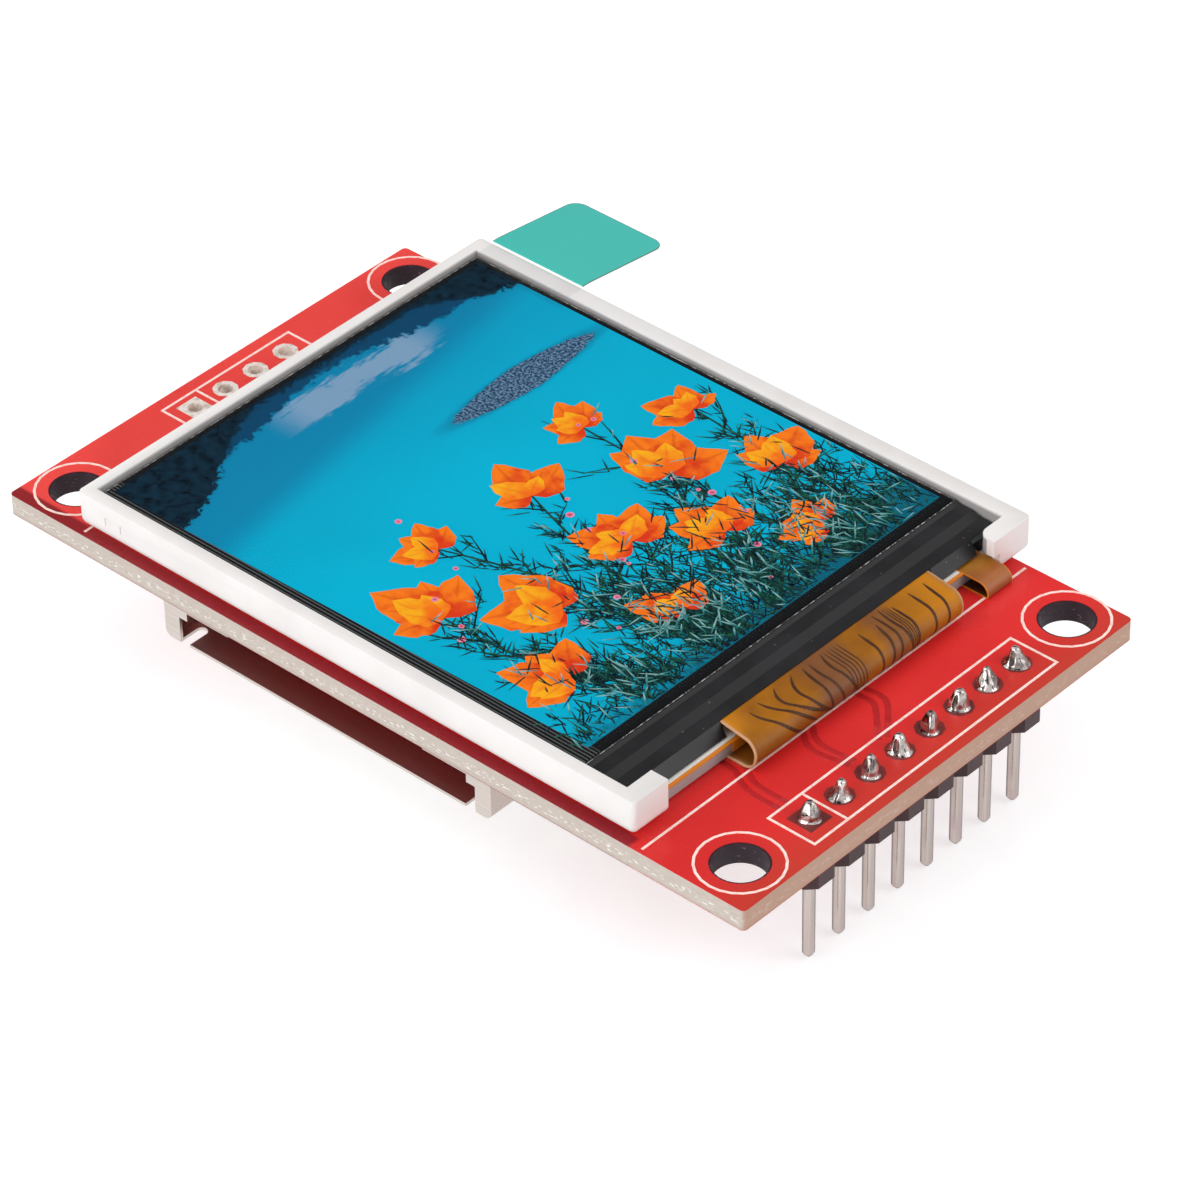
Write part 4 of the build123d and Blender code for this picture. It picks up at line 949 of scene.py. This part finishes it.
class PictureMaking(bpy.types.Operator):
    """Leaf sprays of the screen picture: flat shapes in thin layers just over the picture's water."""

    bl_idname = "display_module.picture_making"
    bl_label = "Make the picture's leaves"

    def execute(self, context):
        leaf_length = context.scene.screen_settings.leaf_length / MM
        chance = np.random.default_rng(11)
        # Heads of the sprays: x, y and size. The stems start at the picture's lower edge.
        heads = np.array([
            (1.0, -11.0, 1.15), (-3.6, -6.6, 0.8), (5.4, -6.0, 1.25), (-3.0, 0.6, 0.95), (4.2, 1.2, 1.1),
            (-5.2, 7.4, 0.75), (1.6, 7.4, 1.2), (7.6, 5.4, 1.0), (-1.6, 13.0, 0.8), (5.8, 12.4, 1.05),
            (9.8, -10.2, 1.0), (10.6, -1.6, 0.95), (11.2, 9.6, 0.8),
        ])
        edge = 14.7
        # Stems: one bent line each from the picture's lower edge to a head, a square curve.
        count, stations = len(heads), 14
        share = np.linspace(0, 1, stations)[None, :, None]
        foot = np.stack([np.full(count, edge), heads[:, 1] * 0.6 + chance.uniform(-3, 5, count)], -1)[:, None]
        top = heads[:, None, :2]
        sway = np.stack([chance.uniform(0, 2, count), chance.uniform(-2.8, 2.8, count)], -1)[:, None]
        bend = (foot + top) / 2 + sway
        line = (1 - share) ** 2 * foot + 2 * share * (1 - share) * bend + share**2 * top
        stems = self.ribbons(line, np.linspace(0.3, 0.14, stations), 0.004)
        # Sprigs: short side twigs that leave the stems, alternating left and right, in a square curve.
        picks = np.arange(1, stations - 1)
        base = line[:, picks].reshape(-1, 1, 2)
        run = (line[:, picks + 1] - line[:, picks]).reshape(-1, 2)
        turn = chance.uniform(0.35, 0.9, len(run)) * np.where(np.arange(len(run)) % 2, 1, -1)
        run /= np.linalg.norm(run, axis=1, keepdims=True)
        run = run * np.cos(turn)[:, None] + left_of(run) * np.sin(turn)[:, None]
        reach = chance.uniform(1.4, 4.2, len(run))[:, None, None]
        part = np.linspace(0, 1, 6)[None, :, None]
        curl = left_of(run) * chance.uniform(-0.3, 0.3, len(run))[:, None]
        twig = base + part * reach * run[:, None] + part**2 * reach * curl[:, None]
        twigs = self.ribbons(twig, np.linspace(0.15, 0.07, 6), 0.005)
        self.paint("picture_stems", "picture_stem_green", ("#0E4A48", "#03161C"), [stems, twigs])
        # Needles: narrow blades along the twigs, densest near the lower edge and the far side.
        seeds = np.repeat(twig.reshape(-1, 2), 5, 0) + chance.normal(0, 0.22, (twig.shape[0] * 30, 2))
        keep = chance.uniform(0, 1, len(seeds)) < np.clip((seeds[:, 0] + 6) / 12, 0.1, 1)
        spread = 2400
        low = np.stack([chance.uniform(7.0, edge, spread), chance.uniform(-14.6, 15.7, spread)], -1)
        crowd = np.clip((low[:, 0] - 8.5 + 0.13 * low[:, 1]) / 5.0, 0, 1)
        seeds = np.concatenate([seeds[keep], low[chance.uniform(0, 1, spread) < crowd]])
        aim = np.pi + chance.normal(0, 0.7, len(seeds))
        step = direction(aim) * chance.uniform(0.5, 1.7, len(seeds))[:, None]
        blade = seeds[:, None] + np.linspace(0, 1, 3)[None, :, None] * step[:, None]
        hue = chance.uniform(0, 1, len(blade))
        for name, colours, low_share, high_share, lift in (
            ("picture_needles_deep", ("#0C3E44", "#04191F"), 0.0, 0.5, 0.006),
            ("picture_needles_green", ("#1F6A50", "#0A3438"), 0.5, 0.84, 0.007),
            ("picture_needles_front", ("#123F3C", "#05181C"), 0.84, 0.94, 0.0145),
            ("picture_needles_pale", ("#8FBFC0", "#2F7F80"), 0.94, 1.0, 0.015),
        ):
            chosen = blade[(hue >= low_share) & (hue < high_share)]
            self.paint(name, name, colours, [self.ribbons(chosen, np.array([0.07, 0.12, 0.02]), lift)])
        # Leaves: a fan of pointed ovals at each head, and three shorter ones on them.
        fan = np.linspace(-1.25, 1.25, 5)
        heading = np.arctan2(*(top - bend)[:, 0, ::-1].T)[:, None]
        turn = heading + fan + chance.normal(0, 0.2, (count, 5))
        size = heads[:, 2:3] * leaf_length * chance.uniform(0.75, 1.2, (count, 5)) * (1 - 0.12 * np.abs(fan))
        for name, finish_name, colours, sides, shift, shorter, wide, lift in (
            ("picture_leaves", "picture_leaf_orange", ("#FF7E08", "#E03404", "#C42E04"),
             slice(0, 5), 0.0, 1.0, 0.36, 0.0095),
            ("picture_inner_leaves", "picture_leaf_amber", ("#FFB20C", "#FA6A06", "#EE5806"),
             slice(1, 4), 0.3, 0.7, 0.34, 0.0118),
        ):
            turns, sizes = (turn[:, sides] + shift), size[:, sides] * shorter
            roots = np.repeat(heads[:, :2], turns.shape[1], 0)
            leaves = self.leaves(roots, turns.ravel(), sizes.ravel(), chance, wide, lift)
            self.paint(name, finish_name, colours, [leaves])
        # Berries: small rounds in loose groups beside the heads.
        at = np.repeat(heads[:8, :2], 3, 0) + chance.normal(0, 1.4, (24, 2)) + (1.5, 0)
        ring = direction(np.linspace(0, 2 * np.pi, 10, endpoint=False))
        radius = chance.uniform(0.14, 0.27, 24)[:, None, None, None] * np.array([0.0, 1.0])[:, None, None]
        disc = self.lifted(at[:, None, None] + radius * ring, 0.0135), None, False, True
        self.paint("picture_berries", "picture_berry_pink", ("#F08AA8", "#C2476C"), [disc])
        return {"FINISHED"}

    @staticmethod
    def paint(name, finish_name, colours, grids):
        """A piece of the picture in its own colour."""
        make_piece(name, painted(finish_name, *colours), grids)

    @staticmethod
    def lifted(flat, lift):
        """Flat points kept inside the picture and laid lift above the polariser."""
        x, y = np.clip(flat[..., 0], *PICTURE_X), np.clip(flat[..., 1], *PICTURE_Y)
        return np.stack([x, y, np.full(x.shape, SCREEN_TOP + lift)], -1)

    def ribbons(self, line, width, lift):
        """Flat ribbons: each point of a line moved left and right by half the width there."""
        run = np.gradient(line, axis=1)
        run /= np.maximum(np.linalg.norm(run, axis=-1, keepdims=True), 1e-9)
        side = left_of(run) * (width / 2)[None, :, None]
        return self.lifted(np.stack([line - side, line + side], 2), lift), None, False, False

    def leaves(self, root, turn, size, chance, wide, lift):
        """Pointed ovals: half-width is size times wide times sin(pi t ** 0.8) ** 0.9, bowed by a square term.

        A ripple of a tenth runs along each side, and five layers keep neighbours apart."""
        t = np.linspace(0, 1, 9)
        half = wide * np.sin(np.pi * t**0.8) ** 0.9
        ripple = 1 + 0.1 * np.sin(t[None] * 17 + chance.uniform(0, 6, len(root))[:, None])
        across = np.linspace(-1, 1, 5)
        bow = chance.uniform(-0.3, 0.3, len(root))
        along = t[None, :, None] * np.ones(len(across)) * size[:, None, None]
        sideways = (half * ripple)[..., None] * across * size[:, None, None]
        sideways = sideways + (bow[:, None] * t**2 * size[:, None])[..., None]
        forward = direction(turn)[:, None, None]
        flat = along[..., None] * forward + sideways[..., None] * left_of(forward) + root[:, None, None]
        points = self.lifted(flat, lift)
        points[..., 2] += (np.arange(len(root)) % 5)[:, None, None] * 0.0004
        return points, None, False, False


class FilmMaking(bpy.types.Operator):
    """Clear film on the screen with its tongue over the frame's far wall."""

    bl_idname = "display_module.film_making"
    bl_label = "Make the screen film"
    thickness = 0.02

    def execute(self, context):
        low, high = span("screen_film")
        screen_far, tongue_end, lift = 15.66, -14.43, SCREEN_TOP + 0.03
        # Sheet and tongue as two strips along y; the tongue is narrower and steps up over the wall.
        sheet = self.slab(low[0], high[0], [low[1], -5.0, 5.0, screen_far], [lift] * 4)
        y = [screen_far - 0.2, screen_far + 0.15, 16.2, 16.5, high[1]]
        z = [lift, lift + 0.05, high[2] - 0.06, high[2] - 0.03, high[2] - 0.02]
        tongue = self.slab(low[0], tongue_end, y, z)
        make_piece(
            "screen_film_clear", clear_film(), [sheet, tongue],
            weld=True, smooth=False, stands_for=["screen_film"],
        )
        return {"FINISHED"}

    def slab(self, x0, x1, y, z):
        """A thin strip between x0 and x1 that follows heights z at stations y."""
        path = np.stack([np.full(len(y), (x0 + x1) / 2), y, z], -1)
        side, up = (np.broadcast_to(axis, path.shape) for axis in ([1.0, 0, 0], [0, 0, 1.0]))
        half, rise = (x1 - x0) / 2, self.thickness / 2
        return swept(path, side, up, [(-half, -rise), (half, -rise), (half, rise), (-half, rise)])


class TabMaking(bpy.types.Operator):
    """Green pull tab: a strip of film, stuck to the tongue, that slopes straight down to rounded corners."""

    bl_idname = "display_module.tab_making"
    bl_label = "Make the pull tab"

    def execute(self, context):
        low, high = span("pull_tab")
        radius = context.scene.screen_settings.tab_corner / MM
        corner = high[1] - radius
        stuck = 0.5
        y = np.concatenate([
            low[1] + np.array([0, 0.06, 0.4]),
            np.linspace(low[1] + 0.8, corner, 10),
            high[1] - radius * (1 - np.sin(np.linspace(0.12, 1.0, 9) * np.pi / 2)),
        ])[:, None]
        # Half-width: straight sides, then a quarter circle at each outer corner.
        over = np.clip(y - corner, 0, radius)
        half = (high[0] - low[0]) / 2 - radius + np.sqrt(np.maximum(radius**2 - over**2, 0))
        across = np.array([-1, -0.985, -0.9, -0.5, 0, 0.5, 0.9, 0.985, 1])
        x = (low[0] + high[0]) / 2 + half * across
        # Height: flat where it is stuck down, then one straight slope to the lower end.
        run = np.maximum(y - low[1] - stuck, 0)
        z = high[2] - FILM_THICKNESS / 2 - 0.005 - (high[2] - low[2] - FILM_THICKNESS) * run / run[-1]
        points = np.stack(np.broadcast_arrays(x, y, z), -1)
        edge = np.minimum(half * (1 - np.abs(across)), np.minimum(high[1] - y, 1.0))
        uv = np.stack(np.broadcast_arrays(edge, y), -1)
        tab = make_piece(
            "pull_tab_film", tab_film(), [(points, uv, False, False)],
            uv_map="tab_map", stands_for=["pull_tab"],
        )
        thicken(tab, FILM_THICKNESS)
        return {"FINISHED"}


class GlassEdgeMaking(bpy.types.Operator):
    """Ground edge of the filter glass: four fine ridges round the polariser, with glints painted on them in
    spots.
    """

    bl_idname = "display_module.glass_edge_making"
    bl_label = "Make the glass edge"

    def execute(self, context):
        low, high = span("colour_filter_glass")
        half = context.scene.screen_settings.glass_edge / MM / 2
        z = high[2] + 0.01
        x0, x1, y0, y1 = low[0] + half, high[0] - half, low[1] + half, high[1] - half
        corners = [(x0, y0), (x1, y0), (x1, y1), (x0, y1)]
        profile = [(-half, -0.04), (-half * 0.7, 0.03), (half * 0.2, 0.05), (half, 0.0), (half, -0.04)]
        # Each ridge is the profile carried along one side of the glass, from corner to corner.
        share = np.linspace(0, 1, 24)[:, None]
        grids = []
        for (xa, ya), (xb, yb) in zip(corners, corners[1:] + corners[:1]):
            path = np.array([xa, ya, z]) + share * np.array([xb - xa, yb - ya, 0])
            side = np.array([yb - ya, xa - xb, 0]) / np.hypot(xb - xa, yb - ya)
            side, up = (np.broadcast_to(axis, path.shape) for axis in (side, [0, 0, 1.0]))
            grids.append(swept(path, side, up, profile))
        make_piece("glass_edge_line", ground_glass(), grids, weld=True, smooth=False)
        return {"FINISHED"}


class FlexMaking(bpy.types.Operator):
    """Display flex from the glass round its bend, with its copper tracks as low raised lines."""

    bl_idname = "display_module.flex_making"
    bl_label = "Make the display flex"
    # Millimetres: the film, its bend's middle and outer radius, its ends, and where its drift stops.
    thickness = 0.1
    bend_x = 20.315
    bend_z = 2.325
    outer = 0.905
    screen_x = 18.2
    end_x = 13.53
    drift_end = 3.6
    # Each track's knots: (place across the flex, arc length).
    tracks = [
        [(-5.75, 1.04), (-5.42, 2.33), (-3.76, 4.05)],
        [(-4.8, 0.81), (-4.47, 1.9), (-4.07, 2.48), (-3.28, 3.29)],
        [(-3.52, 0.69), (-3.73, 1.67), (-3.66, 2.4), (-2.71, 3.04), (-1.59, 3.75)],
        [(-2.09, 0.64), (-2.49, 1.65), (-2.56, 2.83), (-1.61, 3.66)],
        [(-1.04, 0.74), (-1.17, 1.7), (-1.42, 2.76), (-1.24, 3.56)],
        [(-0.51, 0.75), (-0.47, 1.77), (-0.69, 2.81), (-0.22, 3.68)],
        [(0.5, 0.68), (0.41, 1.81), (0.21, 2.84), (0.88, 3.7)],
        [(3.41, 1.05), (3.24, 2.31), (3.13, 3.15), (3.06, 3.89)],
        [(5.16, 0.57), (5.07, 1.97), (4.79, 3.0), (4.7, 3.54)],
        [(4.66, 1.25), (4.33, 2.32), (4.16, 3.01), (3.99, 3.5)],
        [(5.74, 0.49), (5.53, 2.24), (5.6, 3.32)],
        [(6.53, 0.89), (6.37, 2.21), (6.26, 3.21), (6.13, 3.63)],
        [(8.08, 0.78), (7.92, 2.23), (7.76, 3.08), (7.64, 3.62)],
        [(9.32, 0.82), (9.03, 2.24), (8.89, 3.22), (8.77, 3.64)],
    ]

    def place(self, s, y, lift=0.0):
        """The point at arc length s from the screen's edge on the outer face, at y across it, lifted off it.

        Straight along x, then a half circle, then straight back; the flex drifts towards the near side."""
        flat = self.bend_x - self.screen_x
        turn = np.pi * self.outer
        angle = np.clip((s - flat) / self.outer, 0, np.pi)
        radius = self.outer + lift
        back = np.maximum(s - flat - turn, 0)
        x = np.where(s < flat, self.screen_x + s, self.bend_x + radius * np.sin(angle) - back)
        z = self.bend_z + radius * np.cos(angle)
        return np.stack(np.broadcast_arrays(x, y - self.drift(s), z), -1)

    def drift(self, s):
        """How far the flex has moved towards the near side at arc length s."""
        return FLEX_DRIFT * np.clip(s, 0.0, self.drift_end)

    def execute(self, context):
        flex = context.scene.flex_settings
        total = 2 * self.bend_x - self.screen_x - self.end_x + np.pi * self.outer
        # Stations along the flex, as (start, end, count): close together round the bend.
        runs = (-1.1, 2.1, 9), (2.2, 5.0, 29), (5.2, total, 10)
        s = np.concatenate([np.linspace(*run) for run in runs])
        s, v = np.meshgrid(s, np.linspace(*FLEX_Y, 37), indexing="ij")
        middle = self.place(s, v, -self.thickness / 2)
        piece = make_piece(
            "display_flex_film", display_flex_film(),
            [(middle, np.stack([s, v], -1), False, False)], uv_map="flex_map", stands_for=["display_flex"],
        )
        thicken(piece, self.thickness)
        thin = [[(y, 0.7), (y - 0.28, 3.6)] for y in (0.85, 1.12, 1.39, 1.66, 1.93)]
        thin += [[(y, 0.6), (y - 0.3, 3.6)] for y in (5.95, 6.12, 6.29)]
        width, height = flex.track_width / MM, flex.track_height / MM
        grids = [self.track(knots, width, height) for knots in self.tracks]
        grids += [self.track(knots, width * 0.5, height * 0.8) for knots in thin]
        make_piece("display_flex_tracks", copper_under_film(), grids, weld=True)
        return {"FINISHED"}

    def track(self, knots, width, height):
        """A low flat-topped line along a parabola fitted to the knots, narrowed to a point at both ends.

        Its width falls off as the 0.6 power of the distance from the end, where the film hides it."""
        knots = np.array(knots)
        s = np.linspace(knots[0, 1] - 0.25, knots[-1, 1] + 0.9, 22)
        curve = np.polynomial.Polynomial.fit(knots[:, 1], knots[:, 0], min(len(knots) - 1, 2))
        inside = np.clip(s, knots[0, 1], knots[-1, 1])
        y = curve(inside) + (s - inside) * curve.deriv()(inside) + self.drift(s)
        path = self.place(s, y)
        up = self.place(s, y, 1.0) - path
        side = np.cross(np.gradient(path, axis=0), up)
        side /= np.linalg.norm(side, axis=1, keepdims=True)
        taper = np.clip(np.minimum(s - s[0], s[-1] - s) / 0.7, 0.05, 1) ** 0.6
        half, sunk = width / 2, -0.01
        profile = np.array([(-half, sunk), (-half * 0.6, height), (half * 0.6, height), (half, sunk)])
        profile = profile * np.stack([taper, np.ones(len(s))], -1)[:, None]
        return swept(path, side, up, profile)


class SolderMaking(bpy.types.Operator):
    """Solder cones round the header pins, each a turned profile with its own small lean and ripple."""

    bl_idname = "display_module.solder_making"
    bl_label = "Make the solder cones"
    # Profile: a thin foot on the land, a bell up the pin and a small rounded tip, as (radius, height).
    bell = [
        (0.7, 0.0), (0.68, 0.03), (0.65, 0.07), (0.62, 0.12), (0.59, 0.2), (0.56, 0.3), (0.52, 0.4),
        (0.47, 0.52), (0.42, 0.64), (0.37, 0.76), (0.33, 0.88), (0.29, 0.98), (0.25, 1.08), (0.2, 1.16),
        (0.12, 1.21), (0.0, 1.23),
    ]

    def execute(self, context):
        low, high = span("header_solder_joints")
        middle_x, from_end = (low[0] + high[0]) / 2, 0.85
        middle_y = np.linspace(low[1] + from_end, high[1] - from_end, PIN_COUNT)[:, None, None]
        chance = np.random.default_rng(3)
        radius, height = np.array(self.bell).T[:, :, None]
        # A point's distance is the bell's radius times swell round the pin and squash up it, plus the lean.
        turn = np.linspace(0, 2 * np.pi, 28, endpoint=False)
        wave = chance.uniform(0, 6.28, (PIN_COUNT, 1, 3))
        swell = 1 + 0.07 * np.sin(2 * turn + wave[..., 0]) + 0.05 * np.sin(3 * turn + wave[..., 1])
        # The square pin draws the solder out into four shallow lobes that fade towards the foot.
        swell = swell[:, None, :] - 0.09 * np.cos(4 * turn) * np.sin(height * 2.5)
        squash = 1 + 0.08 * np.sin(height * 4 + wave[:, :, 2:]) * (radius > 0)
        r = radius * swell * squash
        lean = chance.normal(0, 0.05, (PIN_COUNT, 2))[:, None, None, :] * height[..., None]
        x = middle_x + r * np.cos(turn) + lean[..., 0]
        y = middle_y + r * np.sin(turn) + lean[..., 1]
        z = BOARD_TOP + np.broadcast_to(height, r.shape) * chance.uniform(0.9, 1.0, (PIN_COUNT, 1, 1))
        solder = bright_tin("solder_bright", "#CFC8C4", "#6E6462", 0.09, 1.4, 0.02)
        make_piece(
            "header_solder_cones", solder, [(np.stack([x, y, z], -1), None, False, True)],
            weld=True, stands_for=["header_solder_joints"],
        )
        return {"FINISHED"}


def background_rays(node):
    """1 on camera, glossy and transmission rays, which see the background, and 0 on those that light."""
    camera, glossy, through = node("ray")
    return node("larger", node("larger", camera, glossy), through)


class StageMaking(bpy.types.Operator):
    """Plain pale floor, even room light, three soft lamps, dark cards for the metal and the camera."""

    bl_idname = "display_module.stage_making"
    bl_label = "Make the stage"
    sensor_width = 36.0
    floor_gap = 0.0002
    floor_glow = 0.64

    def execute(self, context):
        scene = context.scene
        stage = scene.stage_settings
        scene.view_settings.view_transform = "Standard"
        lens = bpy.data.cameras.new("studio_camera")
        lens.lens = stage.camera_lens
        lens.sensor_width = self.sensor_width
        camera = placed("studio_camera", lens)
        camera.location = stage.camera_place
        camera.rotation_euler = Euler(stage.camera_turn, "XYZ")
        scene.camera = camera
        self.room(scene, stage.sky_strength)
        self.floor()
        # Each in metres: place, size, then a lamp's power in watts or a card's brightness.
        for name, place, size, watts in (
            ("key_lamp", (-0.25, -0.30, 0.55), 0.5, stage.key_power),
            ("fill_lamp", (0.45, 0.15, 0.25), 0.4, stage.fill_power),
            ("near_lamp", (0.0, -0.5, 0.08), 0.3, stage.near_power),
        ):
            self.lamp(name, place, size, watts)
        for name, place, size, shade in (
            ("dark_card_back", (-0.42, 0.42, 0.42), (0.6, 0.6), 0.16),
            ("dark_card_side", (0.5, 0.1, 0.2), (0.12, 0.5), 0.1),
            ("dark_card_near", (0.02, -0.5, 0.25), (0.14, 0.5), 0.1),
            ("dark_card_camera", (0.4, -0.43, 0.45), (0.34, 0.34), 0.06),
        ):
            self.card(name, place, size, shade)
        return {"FINISHED"}

    @staticmethod
    def room(scene, strength):
        """White to the camera, to reflections and through glass, and a softer even light on surfaces."""
        world = bpy.data.worlds.new("studio_room")
        node = emptied(world)
        power = node("times_plus", background_rays(node), 1.0 - strength, strength)
        node("world", node("background", power, "#FFFFFF"))
        scene.world = world

    def floor(self):
        """A flat disc under the pins, white by its own colour where nothing shades it."""
        sides, radius, fibres_per_metre = 48, np.array([0.0, 0.5, 2.0]), 300.0
        flat = radius[:, None, None] * direction(np.linspace(0, 2 * np.pi, sides, endpoint=False))
        z = np.full((*flat.shape[:2], 1), CAD_BOX[0][2] - self.floor_gap)
        mesh = bpy.data.meshes.new("studio_floor")
        points = np.concatenate([flat, z], -1).reshape(-1, 3)
        mesh.from_pydata(points, [], grid_faces(len(radius), sides, False, True))
        paper, node = start("floor_paper")
        fibre = node("noise", node("place"), fibres_per_metre)
        white = node("mix", fibre, "#F4F4F4", "#FAFAFA")
        grey = node("mix", fibre, "#C8CACC", "#D0D2D4")
        glow = node("glow", node("times", background_rays(node), self.floor_glow), white)
        node("surface", node("both", node("matt", grey), glow))
        mesh.materials.append(paper)
        floor = placed("studio_floor", mesh)

    @staticmethod
    def aimed(place):
        """The matrix that moves a thing to place and turns it to the object's middle."""
        return Matrix.Translation(place) @ Vector(place).to_track_quat("Z", "Y").to_matrix().to_4x4()

    def lamp(self, name, place, size, watts):
        """A square soft lamp facing the object."""
        light = bpy.data.lights.new(name, "AREA")
        light.size = size
        light.energy = watts
        lamp = placed(name, light)
        lamp.matrix_world = self.aimed(place)
        lamp.visible_camera = False

    def card(self, name, place, size, shade):
        """A grey card that only reflections see."""
        corners = np.array([(-1, -1), (1, -1), (1, 1), (-1, 1)]) * np.array(size) / 2
        mesh = bpy.data.meshes.new(name)
        mesh.from_pydata(np.column_stack([corners, np.zeros(len(corners))]), [], [(0, 1, 2, 3)])
        mesh.transform(self.aimed(place))
        paper, node = start(name + "_paper")
        tone = node("noise", node("place"), 20.0)
        node("surface", node("glow", node("step", tone, 0.0, 1.0, shade * 0.9, shade * 1.1)))
        mesh.materials.append(paper)
        card = placed(name, mesh)
        for unseen in ("camera", "diffuse", "shadow", "transmission"):
            setattr(card, "visible_" + unseen, False)


STEPS = (
    BoardDressing, BoardTracks, PinMaking, PartDressing, ScreenDressing, FrameMaking, PictureMaking,
    FilmMaking, TabMaking, GlassEdgeMaking, FlexMaking, SolderMaking, StageMaking,
)
SETTINGS = {
    "board_settings": BoardSettings,
    "screen_settings": ScreenSettings,
    "flex_settings": FlexSettings,
    "stage_settings": StageSettings,
}


class ModulePanel(bpy.types.Panel):
    """Lists the settings and the steps."""

    bl_idname = "VIEW3D_PT_display_module"
    bl_label = "Display module"
    bl_space_type = "VIEW_3D"
    bl_region_type = "UI"
    bl_category = "Display module"

    def draw(self, context):
        for group in SETTINGS:
            settings = getattr(context.scene, group)
            box = self.layout.box()
            for name in settings.__annotations__:
                box.prop(settings, name)
        for step in STEPS:
            self.layout.operator(step.bl_idname)


def register():
    """Register the settings, the steps and the panel."""
    for group in (*SETTINGS.values(), *STEPS, ModulePanel):
        bpy.utils.register_class(group)
    for name, group in SETTINGS.items():
        setattr(bpy.types.Scene, name, bpy.props.PointerProperty(type=group))


def unregister():
    """Undo register."""
    for name in SETTINGS:
        delattr(bpy.types.Scene, name)
    for group in (ModulePanel, *reversed(STEPS), *reversed(SETTINGS.values())):
        bpy.utils.unregister_class(group)


def main():
    """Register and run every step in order."""
    register()
    for step in STEPS:
        family, name = step.bl_idname.split(".")
        if getattr(getattr(bpy.ops, family), name)() != {"FINISHED"}:
            raise RuntimeError(step.bl_label + " did not finish")


if __name__ == "__main__":
    main()
